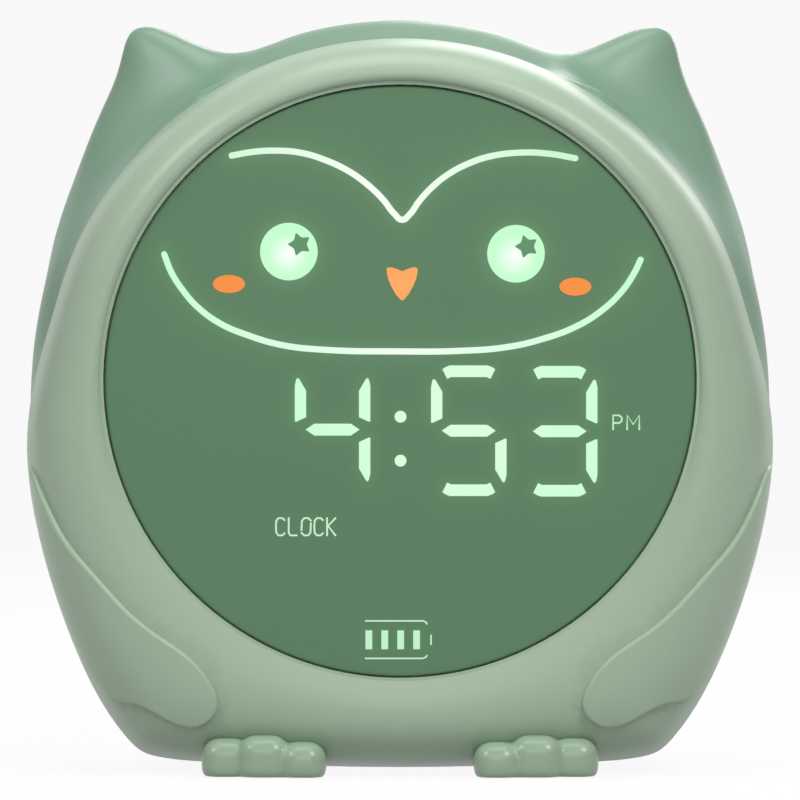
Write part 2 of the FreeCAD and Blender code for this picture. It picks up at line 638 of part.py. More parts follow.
def rear_shell():
    """Rear moulding: head with ears, flat back, screw wells, posts and every rear opening."""
    outer = rear_outer()
    shell = outer.cut(rear_inner())
    rebate = skin([parting_outline(PARTING_Y - 1.0, WALL - LIP_TONGUE_THICKNESS - TONGUE_CLEARANCE),
                   parting_outline(PARTING_Y + LIP_TONGUE + 0.2, WALL - LIP_TONGUE_THICKNESS - TONGUE_CLEARANCE)])
    shell = shell.cut(rebate)
    additions = []
    cuts = grille()
    seat = CASE_JOINT_Y + WELL_FLOOR
    for x, z in case_post_places():
        additions.append(rod(WELL_RADIUS + WELL_WALL, CASE_JOINT_Y, BACK_Y, x, z).common(outer))
        cuts.append(rod(WELL_RADIUS, seat, BACK_Y + 1.0, x, z))
        cuts.append(rod(CASE_SCREW_RADIUS + PILOT_CLEARANCE, CASE_JOINT_Y - 1.0, seat + 1.0, x, z))
    for x, z in main_board_places():
        additions.append(rod(BOARD_POST_RADIUS, MAIN_BOARD_REAR_Y, PANEL_INNER_Y + 1.0, x, z))
        cuts.append(rod(SMALL_SCREW_RADIUS + PILOT_CLEARANCE, MAIN_BOARD_REAR_Y - 1.0,
                        MAIN_BOARD_REAR_Y + SMALL_SCREW_REACH, x, z))
    flange_y = SPEAKER_FRONT_Y - SPEAKER_FLANGE
    for x, z in speaker_boss_places():
        additions.append(rod(SPEAKER_BOSS_RADIUS, flange_y, PANEL_INNER_Y + 1.0, x, z))
        cuts.append(rod(SMALL_SCREW_RADIUS + PILOT_CLEARANCE, flange_y - 1.0, PANEL_INNER_Y + 0.5, x, z))
    for name, x, z in button_places():
        cuts.append(pill(BUTTON_WIDTH + 2.0 * BUTTON_GAP, BUTTON_HEIGHT + 2.0 * BUTTON_GAP,
                         PANEL_INNER_Y - 1.0, BACK_Y + 1.0, x, z))
    cuts.append(pill(USB_WIDTH + 2.0 * (USB_WALL + PORT_CLEARANCE), USB_HEIGHT + 2.0 * (USB_WALL + PORT_CLEARANCE),
                     PANEL_INNER_Y - 1.0, BACK_Y + 1.0, USB_X, PORT_Z))
    slot_width = SWITCH_KNOB_WIDTH + SWITCH_TRAVEL + 2.0 * PORT_CLEARANCE
    slot_half = SWITCH_KNOB_HEIGHT / 2.0 + PORT_CLEARANCE
    cuts.append(block((SWITCH_X - slot_width / 2.0, SWITCH_X + slot_width / 2.0),
                      (PANEL_INNER_Y - 1.0, BACK_Y + 1.0), (PORT_Z - slot_half, PORT_Z + slot_half)))
    cuts.append(pill(slot_width + 2.0 * SWITCH_RECESS_MARGIN, SWITCH_KNOB_HEIGHT + 2.0 * SWITCH_RECESS_MARGIN,
                     BACK_Y - SWITCH_RECESS, BACK_Y + 1.0, SWITCH_X, PORT_Z))
    for side in (-1.0, 1.0):
        middle = side * HOLDER_FOOT_X
        additions.append(block((middle - HOLDER_FOOT_WIDTH / 2.0, middle + HOLDER_FOOT_WIDTH / 2.0),
                               (CELL_Y - HOLDER_FOOT_DEPTH / 2.0, CELL_Y + HOLDER_FOOT_DEPTH / 2.0),
                               (BASE_Z + HOLDER_FOOT_SINK, HOLDER_Z)))
        cuts.append(Part.makeCylinder(SMALL_SCREW_RADIUS + PILOT_CLEARANCE, HOLDER_SCREW_REACH + 1.0,
                                      Vector(middle, CELL_Y, HOLDER_Z - HOLDER_SCREW_REACH - 0.2)))
        for y in (PAD_FRONT_Y, PAD_REAR_Y):
            cuts.append(Part.makeCylinder(PAD_RADIUS + PAD_CLEARANCE, PAD_TOP_Z, Vector(side * PAD_X, y, 0.0)))
    return shell.fuse(additions).cut(cuts)


def display_lens():
    """Round lens with a softened front edge."""
    lens = rod(LENS_RADIUS, LENS_FRONT_Y, LENS_BACK_Y, 0.0, LENS_Z)
    front_edges = [edge for edge in lens.Edges if abs(edge.BoundBox.YMax - LENS_FRONT_Y) < 1e-6]
    return lens.makeChamfer(LENS_EDGE, front_edges)


def line_slot(points, y_from, y_to):
    """Slot of even width along a smooth line through points on the left and their mirror images."""
    places = [Vector(x, y_from, z) for x, z in points]
    places += [Vector(-x, y_from, z) for x, z in reversed(points[:-1])]
    curve = Part.BSplineCurve()
    curve.interpolate(places)
    return ribbon(curve, FACE_LINE, y_from, y_to)


def ribbon(curve, width, y_from, y_to):
    """Flat bar of even width that follows a curve in a vertical plane."""
    steps = 20
    sides = ([], [])
    for step in range(steps + 1):
        where = curve.FirstParameter + (curve.LastParameter - curve.FirstParameter) * step / steps
        place = curve.value(where)
        ahead = curve.tangent(where)[0]
        across = Vector(-ahead.z, 0.0, ahead.x) * (width / 2.0)
        sides[0].append(place + across)
        sides[1].append(place - across)
    outline_points = sides[0] + sides[1][::-1]
    face = Part.Face(Part.makePolygon(outline_points + [outline_points[0]]))
    return face.extrude(Vector(0.0, y_to - y_from, 0.0))


def half_slot(points, y_from, y_to):
    """Slot of even width along a smooth line on one side."""
    curve = Part.BSplineCurve()
    curve.interpolate([Vector(x, y_from, z) for x, z in points])
    return ribbon(curve, FACE_LINE, y_from, y_to)


def segment(x, z, length, upright, y_from, y_to):
    """One bar of a digit, with bevelled ends."""
    half = length / 2.0
    stroke = DIGIT_STROKE / 2.0
    if upright:
        corners = [(stroke, half - stroke), (0.0, half), (-stroke, half - stroke),
                   (-stroke, stroke - half), (0.0, -half), (stroke, stroke - half)]
    else:
        corners = [(half - stroke, stroke), (half, 0.0), (half - stroke, -stroke),
                   (stroke - half, -stroke), (-half, 0.0), (stroke - half, stroke)]
    points = [Vector(x + dx, y_from, z + dz) for dx, dz in corners]
    face = Part.Face(Part.makePolygon(points + [points[0]]))
    return face.extrude(Vector(0.0, y_to - y_from, 0.0))


def digit_segments(x, y_from, y_to):
    """The seven bars of one digit."""
    column = DIGIT_WIDTH / 2.0 - DIGIT_STROKE / 2.0
    row = DIGIT_HEIGHT / 2.0 - DIGIT_STROKE / 2.0
    across = 2.0 * column - 2.0 * DIGIT_GAP
    upright = row - 2.0 * DIGIT_GAP
    bars = []
    for level in (-1.0, 0.0, 1.0):
        bars.append(segment(x, DIGIT_Z + level * row, across, False, y_from, y_to))
    for level in (-0.5, 0.5):
        for side in (-1.0, 1.0):
            bars.append(segment(x + side * column, DIGIT_Z + level * row, upright, True, y_from, y_to))
    return bars


def ellipse_bar(x, z, half_width, half_height, y_from, y_to):
    """Bar along the depth with an elliptical section."""
    ellipse = Part.Ellipse(Vector(x, y_from, z), half_width, half_height)
    ellipse.Axis = Vector(0.0, -1.0, 0.0)
    ellipse.XAxis = Vector(1.0, 0.0, 0.0)
    face = Part.Face(Part.Wire([ellipse.toShape()]))
    return face.extrude(Vector(0.0, y_to - y_from, 0.0))


def beak(y_from, y_to):
    """Beak: a heart-like outline with its tip down."""
    curve = Part.BSplineCurve()
    notch = Vector(0.0, y_from, BEAK_TOP_Z - 0.7)
    tip = Vector(0.0, y_from, BEAK_TIP_Z)
    shoulder = Vector(BEAK_HALF_WIDTH, y_from, BEAK_TOP_Z - 0.6)
    curve.interpolate([notch, Vector(BEAK_HALF_WIDTH * 0.6, y_from, BEAK_TOP_Z), shoulder,
                       Vector(BEAK_HALF_WIDTH * 0.55, y_from, BEAK_TIP_Z + 2.0), tip])
    right = curve.toShape()
    wire = Part.Wire(Part.__sortEdges__([right, mirrored(right)]))
    return Part.Face(wire).extrude(Vector(0.0, y_to - y_from, 0.0))


def star(x, z, radius, y_from, y_to):
    """Five-pointed pupil."""
    points = []
    for corner in range(10):
        reach = radius if corner % 2 == 0 else radius * 0.48
        points.append(polar(x, z, reach, 180.0 + 36.0 * corner, y_from))
    face = Part.Face(Part.makePolygon(points + [points[0]]))
    return face.extrude(Vector(0.0, y_to - y_from, 0.0))


def face_mask():
    """Light-tight sheet with an aperture for every shape that lights up."""
    front = LENS_BACK_Y
    back = MASK_BACK_Y
    sheet = rod(STACK_RADIUS, front, back, 0.0, LENS_Z)
    cuts = [line_slot(CHEEK_LINE_POINTS, front - 1.0, back + 1.0), beak(front - 1.0, back + 1.0)]
    brow = half_slot(BROW_POINTS, front - 1.0, back + 1.0)
    cuts += [brow, mirrored(brow)]
    for side in (-1.0, 1.0):
        eye = rod(EYE_RADIUS, front - 1.0, back + 1.0, side * EYE_X, EYE_Z)
        cuts.append(eye)
        cuts.append(ellipse_bar(side * CHEEK_X, CHEEK_Z, CHEEK_HALF_WIDTH, CHEEK_HALF_HEIGHT, front - 1.0, back + 1.0))
        cuts.append(rod(COLON_RADIUS, front - 1.0, back + 1.0, COLON_X, DIGIT_Z - 0.3 + side * COLON_HALF_PITCH))
    for x in DIGIT_X:
        cuts += digit_segments(x, front - 1.0, back + 1.0)
    sheet = sheet.cut(cuts)
    pupils = [star(side * EYE_X + 1.7, EYE_Z + 1.3, 2.2, front, back) for side in (-1.0, 1.0)]
    return Part.makeCompound([sheet] + pupils)


def diffuser_sheet():
    """Milky sheet that spreads the light behind the mask."""
    return rod(STACK_RADIUS, MASK_BACK_Y, DIFFUSER_BACK_Y, 0.0, LENS_Z)


def light_box():
    """White frame whose cells keep the light of face and digits apart."""
    front = DIFFUSER_BACK_Y
    back = BOX_BACK_Y
    box = tube(BOX_RADIUS, BOX_RADIUS - BOX_WALL, front, back, 0.0, LENS_Z)
    inside = rod(BOX_RADIUS - BOX_WALL / 2.0, front, back, 0.0, LENS_Z)
    half = BOX_WALL / 2.0
    shelf_z = DIGIT_Z + DIGIT_HEIGHT / 2.0
    lower_z = DIGIT_Z - DIGIT_HEIGHT / 2.0 - BOX_LOWER_RIB_DROP
    across = (-BOX_RADIUS, BOX_RADIUS)
    ribs = [block(across, (front, back), (shelf_z - half, shelf_z + half)),
            block(across, (front, back), (lower_z - half, lower_z + half))]
    for left, right in zip(DIGIT_X[:-1], DIGIT_X[1:]):
        middle = (left + right) / 2.0
        ribs.append(block((middle - half, middle + half), (front, back), (lower_z, shelf_z)))
    return joined([box] + [rib.common(inside) for rib in ribs])


def display_board():
    """Round board that carries the display's LEDs, notched round the case posts."""
    board = rod(DISPLAY_BOARD_RADIUS, BOX_BACK_Y, DISPLAY_BOARD_BACK_Y, 0.0, LENS_Z)
    cuts = []
    for x, z in case_post_places():
        cuts.append(rod(POST_RADIUS + POST_NOTCH_CLEARANCE, BOX_BACK_Y - 1.0, DISPLAY_BOARD_BACK_Y + 1.0, x, z))
    for x, z in display_boss_places():
        cuts.append(rod(SMALL_SCREW_RADIUS + SCREW_HOLE_CLEARANCE, BOX_BACK_Y - 1.0, DISPLAY_BOARD_BACK_Y + 1.0, x, z))
    return board.cut(cuts)


def led(x, z):
    """One surface-mounted LED on the front of the display board."""
    half = LED_SIZE / 2.0
    return block((x - half, x + half), (BOX_BACK_Y - LED_HEIGHT, BOX_BACK_Y), (z - half, z + half))


def display_leds():
    """LEDs under the digits, eyes, beak and lower signs."""
    places = [(x, DIGIT_Z + level * DIGIT_HEIGHT / 4.0) for x in DIGIT_X for level in (-1.0, 1.0)]
    places += [(side * EYE_X, EYE_Z) for side in (-1.0, 1.0)]
    places += [(side * CHEEK_X, CHEEK_Z) for side in (-1.0, 1.0)]
    places += [(0.0, BEAK_TIP_Z + 2.0), (0.0, DIGIT_Z - DIGIT_HEIGHT), (-18.0, DIGIT_Z - DIGIT_HEIGHT * 0.75)]
    return Part.makeCompound([led(x, z) for x, z in places])


def display_screws():
    """Screws that hold the display board on the front shell's bosses."""
    parts = [screw(SMALL_SCREW_RADIUS, SMALL_SCREW_HEAD_RADIUS, SMALL_SCREW_HEAD, SMALL_SCREW_REACH + BOARD_THICKNESS - 0.5,
                   x, z, DISPLAY_BOARD_BACK_Y, -1) for x, z in display_boss_places()]
    return Part.makeCompound(parts)


def main_board():
    """Main board behind the flat back, with a hole for the speaker."""
    board = block((-MAIN_BOARD_HALF_WIDTH, MAIN_BOARD_HALF_WIDTH), (MAIN_BOARD_FRONT_Y, MAIN_BOARD_REAR_Y),
                  (MAIN_BOARD_LOW_Z, MAIN_BOARD_HIGH_Z))
    cuts = [rod(SPEAKER_RADIUS + 1.0, MAIN_BOARD_FRONT_Y - 1.0, MAIN_BOARD_REAR_Y + 1.0, 0.0, SPEAKER_Z)]
    for x, z in main_board_places():
        cuts.append(rod(SMALL_SCREW_RADIUS + SCREW_HOLE_CLEARANCE, MAIN_BOARD_FRONT_Y - 1.0, MAIN_BOARD_REAR_Y + 1.0, x, z))
    return board.cut(cuts)


def board_screws():
    """Screws that hold the main board on the rear shell's posts."""
    parts = [screw(SMALL_SCREW_RADIUS, SMALL_SCREW_HEAD_RADIUS, SMALL_SCREW_HEAD, SMALL_SCREW_REACH + BOARD_THICKNESS - 0.5,
                   x, z, MAIN_BOARD_FRONT_Y, 1) for x, z in main_board_places()]
    return Part.makeCompound(parts)


def tact_switches():
    """Six push switches on the main board, one behind each button."""
    parts = []
    half = TACT_SIZE / 2.0
    for name, x, z in button_places():
        body_top = TACT_TOP_Y - TACT_PLUNGER
        body = block((x - half, x + half), (MAIN_BOARD_REAR_Y, body_top), (z - half, z + half))
        parts.append(body.fuse(rod(TACT_PLUNGER_RADIUS, body_top, TACT_TOP_Y, x, z)))
    return Part.makeCompound(parts)


def button(x, z):
    """Rear button: a pill with an eased edge and a retaining flange inside the back."""
    cap = pill(BUTTON_WIDTH, BUTTON_HEIGHT, BUTTON_FLANGE_REAR_Y, BACK_Y + BUTTON_PROUD, x, z)
    top_edges = [edge for edge in cap.Edges if edge.BoundBox.YMin > BACK_Y + BUTTON_PROUD - 1e-6]
    cap = cap.makeChamfer(BUTTON_EDGE, top_edges)
    flange = pill(BUTTON_WIDTH + 2.0 * BUTTON_FLANGE, BUTTON_HEIGHT + 2.0 * BUTTON_FLANGE,
                  BUTTON_FLANGE_FRONT_Y, BUTTON_FLANGE_REAR_Y, x, z)
    return cap.fuse(flange)


def usb_socket():
    """Metal shell of the charging socket with its tongue."""
    rear = BACK_Y - USB_SETBACK
    front = rear - USB_LENGTH
    outer = pill(USB_WIDTH + 2.0 * USB_WALL, USB_HEIGHT + 2.0 * USB_WALL, front, rear, USB_X, PORT_Z)
    inner = pill(USB_WIDTH, USB_HEIGHT, front + 1.0, rear + 1.0, USB_X, PORT_Z)
    tongue = block((USB_X - USB_TONGUE_WIDTH / 2.0, USB_X + USB_TONGUE_WIDTH / 2.0), (front + 0.5, rear - 1.0),
                   (PORT_Z - USB_TONGUE_THICKNESS / 2.0, PORT_Z + USB_TONGUE_THICKNESS / 2.0))
    return outer.cut(inner).fuse(tongue)


def switch_body():
    """Body of the slide switch on the main board, open towards the back for its knob."""
    rear = PANEL_INNER_Y - 0.3
    x_half = SWITCH_BODY_WIDTH / 2.0
    z_half = SWITCH_BODY_HEIGHT / 2.0
    body = block((SWITCH_X - x_half, SWITCH_X + x_half), (MAIN_BOARD_REAR_Y, rear), (PORT_Z - z_half, PORT_Z + z_half))
    track_half = (SWITCH_KNOB_WIDTH + SWITCH_TRAVEL) / 2.0 + PORT_CLEARANCE
    track = block((SWITCH_X - track_half, SWITCH_X + track_half), (rear - SWITCH_BODY_DEPTH, rear + 1.0),
                  (PORT_Z - SWITCH_KNOB_HEIGHT / 2.0 - PORT_CLEARANCE, PORT_Z + SWITCH_KNOB_HEIGHT / 2.0 + PORT_CLEARANCE))
    return body.cut(track)


def switch_knob():
    """Ribbed knob of the slide switch, at the left end of its travel."""
    x = SWITCH_X - SWITCH_TRAVEL / 2.0
    half = SWITCH_KNOB_WIDTH / 2.0
    z_half = SWITCH_KNOB_HEIGHT / 2.0
    front = PANEL_INNER_Y - 0.3 - SWITCH_BODY_DEPTH + PORT_CLEARANCE
    rear = BACK_Y + KNOB_PROUD
    knob = block((x - half, x + half), (front, rear), (PORT_Z - z_half, PORT_Z + z_half))
    grooves = []
    for step in (-1.0, 0.0, 1.0):
        middle = x + step * KNOB_GROOVE_PITCH
        grooves.append(block((middle - KNOB_GROOVE / 2.0, middle + KNOB_GROOVE / 2.0),
                             (rear - KNOB_GROOVE_DEPTH, rear + 1.0), (PORT_Z - z_half - 1.0, PORT_Z + z_half + 1.0)))
    return knob.cut(grooves)


def speaker_parts():
    """Speaker frame, cone, magnet and gasket, all on the same axis."""
    rear = SPEAKER_FRONT_Y
    flange_y = rear - SPEAKER_FLANGE
    magnet_y = rear - SPEAKER_DEPTH
    magnet_radius = SPEAKER_RADIUS * MAGNET_SHARE
    rim = SPEAKER_RADIUS - SPEAKER_RIM
    flange = tube(SPEAKER_RADIUS, rim, flange_y, rear, 0.0, SPEAKER_Z)
    depth = rear - magnet_y
    back = Vector(0.0, magnet_y, SPEAKER_Z)
    axis = Vector(0.0, 1.0, 0.0)
    basket = Part.makeCone(magnet_radius + SPEAKER_WALL / 2.0, rim + SPEAKER_WALL, depth, back, axis)
    hollow = Part.makeCone(magnet_radius - SPEAKER_WALL / 2.0, rim, depth - SPEAKER_WALL,
                           back + axis * SPEAKER_WALL, axis)
    frame = flange.fuse(basket).cut(hollow)
    cone_depth = depth - 4.0 * SPEAKER_WALL
    cone_outer = Part.makeCone(CONE_BASE_RADIUS, SPEAKER_RADIUS - CONE_RIM_GAP, cone_depth,
                               back + axis * (3.0 * SPEAKER_WALL), axis)
    cone_inner = Part.makeCone(CONE_BASE_RADIUS - CONE_WALL, SPEAKER_RADIUS - CONE_RIM_GAP - CONE_WALL, cone_depth,
                               back + axis * (3.0 * SPEAKER_WALL + CONE_WALL), axis)
    cone = cone_outer.cut(cone_inner)
    magnet = rod(magnet_radius, magnet_y - MAGNET_DEPTH, magnet_y, 0.0, SPEAKER_Z)
    gasket = tube(SPEAKER_RADIUS, rim, rear, PANEL_INNER_Y, 0.0, SPEAKER_Z)
    return {"speaker_frame": frame, "speaker_cone": cone, "speaker_magnet": magnet, "speaker_gasket": gasket}


def speaker_screws():
    """Screws whose heads clamp the speaker's flange."""
    seat = SPEAKER_FRONT_Y - SPEAKER_FLANGE
    parts = [screw(SMALL_SCREW_RADIUS, SPEAKER_SCREW_HEAD_RADIUS, SMALL_SCREW_HEAD, SPEAKER_SCREW_REACH, x, z, seat, 1)
             for x, z in speaker_boss_places()]
    return Part.makeCompound(parts)


def battery_parts():
    """Rechargeable cell, its holder, contacts and screws on the floor of the rear shell."""
    inner_half = CELL_LENGTH / 2.0 + CONTACT_THICKNESS + 0.2
    outer_half = inner_half + HOLDER_WALL
    y_half = CELL_RADIUS + CELL_CLEARANCE + HOLDER_WALL
    cell_z = HOLDER_Z + HOLDER_FLOOR + CELL_CLEARANCE + CELL_RADIUS
    holder = block((-outer_half, outer_half), (CELL_Y - y_half, CELL_Y + y_half), (HOLDER_Z, cell_z + HOLDER_RIM))
    bore = Part.makeCylinder(CELL_RADIUS + CELL_CLEARANCE, 2.0 * inner_half, Vector(-inner_half, CELL_Y, cell_z),
                             Vector(1.0, 0.0, 0.0))
    mouth = block((-inner_half, inner_half), (CELL_Y - CELL_RADIUS - CELL_CLEARANCE, CELL_Y + CELL_RADIUS + CELL_CLEARANCE),
                  (cell_z, cell_z + 20.0))
    holder = holder.cut([bore, mouth])
    for side in (-1.0, 1.0):
        hole = Part.makeCylinder(SMALL_SCREW_RADIUS + SCREW_HOLE_CLEARANCE, CELL_RADIUS,
                                 Vector(side * HOLDER_FOOT_X, CELL_Y, HOLDER_Z - 1.0))
        holder = holder.cut(hole)
    cell = Part.makeCylinder(CELL_RADIUS, CELL_LENGTH, Vector(-CELL_LENGTH / 2.0, CELL_Y, cell_z), Vector(1.0, 0.0, 0.0))
    contacts = []
    screws = []
    for side in (-1.0, 1.0):
        near = side * CELL_LENGTH / 2.0
        far = side * (CELL_LENGTH / 2.0 + CONTACT_THICKNESS)
        contacts.append(block((min(near, far), max(near, far)),
                              (CELL_Y - CONTACT_WIDTH / 2.0, CELL_Y + CONTACT_WIDTH / 2.0),
                              (cell_z - CONTACT_HEIGHT / 2.0, cell_z + CONTACT_HEIGHT / 2.0)))
        shank = Part.makeCylinder(SMALL_SCREW_RADIUS, HOLDER_SCREW_REACH + HOLDER_SCREW_HEAD,
                                  Vector(side * HOLDER_FOOT_X, CELL_Y, HOLDER_Z - HOLDER_SCREW_REACH))
        screws.append(shank)
    return {"battery_holder": holder, "battery_cell": cell, "battery_contacts": Part.makeCompound(contacts),
            "battery_screws": Part.makeCompound(screws)}


def flex_cable():
    """Flat flex between the boards: two tails joined by a bent span above the speaker."""
    y_from = DISPLAY_BOARD_BACK_Y
    y_to = MAIN_BOARD_FRONT_Y
    path = [Vector(0.0, y_from + 0.2, FLEX_FRONT_Z), Vector(0.0, y_from + FLEX_LEAD, FLEX_FRONT_Z),
            Vector(0.0, (y_from + y_to) / 2.0, FLEX_MIDDLE_Z), Vector(0.0, y_to - FLEX_LEAD, FLEX_REAR_Z),
            Vector(0.0, y_to - 0.2, FLEX_REAR_Z)]
    upper = [point + Vector(0.0, 0.0, FLEX_THICKNESS) for point in reversed(path)]
    face = Part.Face(Part.makePolygon(path + upper + [path[0]]))
    strip = face.extrude(Vector(FLEX_WIDTH, 0.0, 0.0))
    strip.translate(Vector(-FLEX_WIDTH / 2.0, 0.0, 0.0))
    plugs = []
    for y_low, z in ((y_from, FLEX_FRONT_Z), (y_to - FLEX_PLUG_DEPTH, FLEX_REAR_Z)):
        plugs.append(block((-FLEX_PLUG_WIDTH / 2.0, FLEX_PLUG_WIDTH / 2.0), (y_low, y_low + FLEX_PLUG_DEPTH),
                           (z - FLEX_PLUG_HEIGHT / 2.0, z + FLEX_PLUG_HEIGHT / 2.0)))
    return joined([strip] + plugs)


def toe(x, half_width, top_z, front_y):
    """One toe: a block rounded on every edge, cut flat where it meets the table."""
    shape = block((x - half_width, x + half_width), (front_y, front_y + TOE_LENGTH), (TOE_FLOOR_Z - TOE_UNDERCUT, top_z))
    return shape.makeFillet(TOE_ROUND, shape.Edges)


def toe_web(first, second):
    """Low bridge between two toes, rounded along its upper front edge."""
    top = min(first[2], second[2]) - TOE_WEB_DROP
    front = max(first[3], second[3]) + TOE_WEB_SETBACK
    shape = block((FOOT_X + first[0], FOOT_X + second[0]), (front, front + TOE_LENGTH / 2.0), (TOE_FLOOR_Z, top))
    ridge = [edge for edge in shape.Edges if edge.BoundBox.YMax < front + 1e-6 and edge.BoundBox.ZMin > top - 1e-6]
    return shape.makeFillet(TOE_ROUND, ridge)


def foot(outer):
    """Right foot: three toes of one moulding, seated on the underside of the belly."""
    toes = [toe(FOOT_X + offset, half_width, top_z, front_y) for offset, half_width, top_z, front_y in TOES]
    webs = [toe_web(first, second) for first, second in zip(TOES[:-1], TOES[1:])]
    heel = block((FOOT_X - HEEL_HALF_WIDTH, FOOT_X + HEEL_HALF_WIDTH), (HEEL_FRONT_Y, HEEL_REAR_Y),
                 (TOE_FLOOR_Z, HEEL_TOP_Z))
    shape = joined(toes + webs + [heel])
    below = block((0.0, HEAD_RADIUS), (CREST_Y - TOE_LENGTH, 0.0), (-TOE_LENGTH, TOE_FLOOR_Z))
    hole = Part.makeCylinder(SMALL_SCREW_RADIUS + PILOT_CLEARANCE, 20.0, Vector(FOOT_X, FOOT_SCREW_Y, FOOT_SCREW_TIP_Z - 0.2))
    return shape.cut([outer, hole, below])


def foot_screws():
    """One screw from inside the front shell down into each foot."""
    parts = []
    seat_z = foot_screw_seat()
    for side in (-1.0, 1.0):
        base = Vector(side * FOOT_X, FOOT_SCREW_Y, FOOT_SCREW_TIP_Z)
        shank = Part.makeCylinder(SMALL_SCREW_RADIUS, seat_z - FOOT_SCREW_TIP_Z, base)
        head = Part.makeCylinder(SMALL_SCREW_HEAD_RADIUS, SMALL_SCREW_HEAD, Vector(base.x, base.y, seat_z))
        parts.append(shank.fuse(head))
    return Part.makeCompound(parts)


def case_screws():
    """Four long screws that close the case from the back."""
    seat = CASE_JOINT_Y + WELL_FLOOR
    parts = [screw(CASE_SCREW_RADIUS, CASE_SCREW_HEAD_RADIUS, CASE_SCREW_HEAD, CASE_SCREW_REACH, x, z, seat, -1)
             for x, z in case_post_places()]
    return Part.makeCompound(parts)


def base_pads():
    """Four rubber discs under the base."""
    parts = []
    for y in (PAD_FRONT_Y, PAD_REAR_Y):
        for side in (-1.0, 1.0):
            pad = Part.makeCylinder(PAD_RADIUS, PAD_TOP_Z, Vector(side * PAD_X, y, 0.0))
            bottom = [edge for edge in pad.Edges if edge.BoundBox.ZMax < 1e-6]
            parts.append(pad.makeChamfer(PAD_EDGE, bottom))
    return Part.makeCompound(parts)


def build_parts():
    """Every piece of the clock by its node name."""
    right_foot = foot(front_outer())
    parts = {
        "front_shell": front_shell(),
        "rear_shell": rear_shell(),
        "display_lens": display_lens(),
        "face_mask": face_mask(),
        "diffuser_sheet": diffuser_sheet(),
        "light_box": light_box(),
        "display_board": display_board(),
        "display_leds": display_leds(),
        "display_screws": display_screws(),
        "flex_cable": flex_cable(),
        "main_board": main_board(),
        "board_screws": board_screws(),
        "tact_switches": tact_switches(),
        "usb_socket": usb_socket(),
        "switch_body": switch_body(),
        "switch_knob": switch_knob(),
        "speaker_screws": speaker_screws(),
        "foot_right": right_foot,
        "foot_left": mirrored(right_foot),
        "foot_screws": foot_screws(),
        "case_screws": case_screws(),
        "base_pads": base_pads(),
    }
    parts.update(speaker_parts())
    parts.update(battery_parts())
    for name, x, z in button_places():
        parts["button_" + name] = button(x, z)
    return parts


def main():
    """Write every piece to its own file."""
    os.makedirs("parts", exist_ok=True)
    for name, shape in build_parts().items():
        shape.exportStep("parts/" + name + ".step")


main()
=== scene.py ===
import json
import logging
import math
from dataclasses import dataclass, field
from enum import Enum
from functools import cached_property

import bmesh
import bpy
import numpy as np
from mathutils import Matrix, Vector

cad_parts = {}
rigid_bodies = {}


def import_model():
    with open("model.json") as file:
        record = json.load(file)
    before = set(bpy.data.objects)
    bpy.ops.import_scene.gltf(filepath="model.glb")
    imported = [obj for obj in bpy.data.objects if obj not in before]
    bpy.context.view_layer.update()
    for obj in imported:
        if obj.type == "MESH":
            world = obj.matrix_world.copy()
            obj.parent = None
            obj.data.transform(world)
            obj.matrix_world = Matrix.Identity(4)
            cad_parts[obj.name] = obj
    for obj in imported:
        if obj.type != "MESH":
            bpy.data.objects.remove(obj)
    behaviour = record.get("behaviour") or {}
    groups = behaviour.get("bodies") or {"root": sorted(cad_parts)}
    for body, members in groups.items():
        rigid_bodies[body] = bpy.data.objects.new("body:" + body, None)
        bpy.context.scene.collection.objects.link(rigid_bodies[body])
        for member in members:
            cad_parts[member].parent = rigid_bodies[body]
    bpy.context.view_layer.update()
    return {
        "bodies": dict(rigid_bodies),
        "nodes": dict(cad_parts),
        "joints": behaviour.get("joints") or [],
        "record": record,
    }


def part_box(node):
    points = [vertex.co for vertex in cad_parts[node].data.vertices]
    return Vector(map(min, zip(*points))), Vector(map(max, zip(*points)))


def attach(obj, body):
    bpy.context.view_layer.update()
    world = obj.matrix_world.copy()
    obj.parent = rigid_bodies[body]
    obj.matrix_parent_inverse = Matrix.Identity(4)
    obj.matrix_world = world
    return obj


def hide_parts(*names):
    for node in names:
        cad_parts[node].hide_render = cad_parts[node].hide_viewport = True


logging.basicConfig(level=logging.INFO, format="%(name)s: %(message)s")
LOG = logging.getLogger("owl_clock")

MM = 0.001
CASE = "case"
FEET = ("foot_left", "foot_right")
HALO = "halo"

Colour = tuple[float, float, float]
Plane = tuple[float, float]


def linear(red: int, green: int, blue: int) -> Colour:
    """Turn a colour written in display values into scene values.

    Args:
        red: Red from 0 to 255.
        green: Green from 0 to 255.
        blue: Blue from 0 to 255.

    Returns:
        The three scene-linear values.
    """
    values = []
    for part in (red, green, blue):
        share = part / 255.0
        values.append(share / 12.92 if share <= 0.04045 else ((share + 0.055) / 1.055) ** 2.4)
    return (values[0], values[1], values[2])


class Grain(Enum):
    """How coarse the texture of a moulding tool is, as cells per metre."""

    POLISHED = 900.0
    SATIN = 2600.0
    SPARK = 4200.0


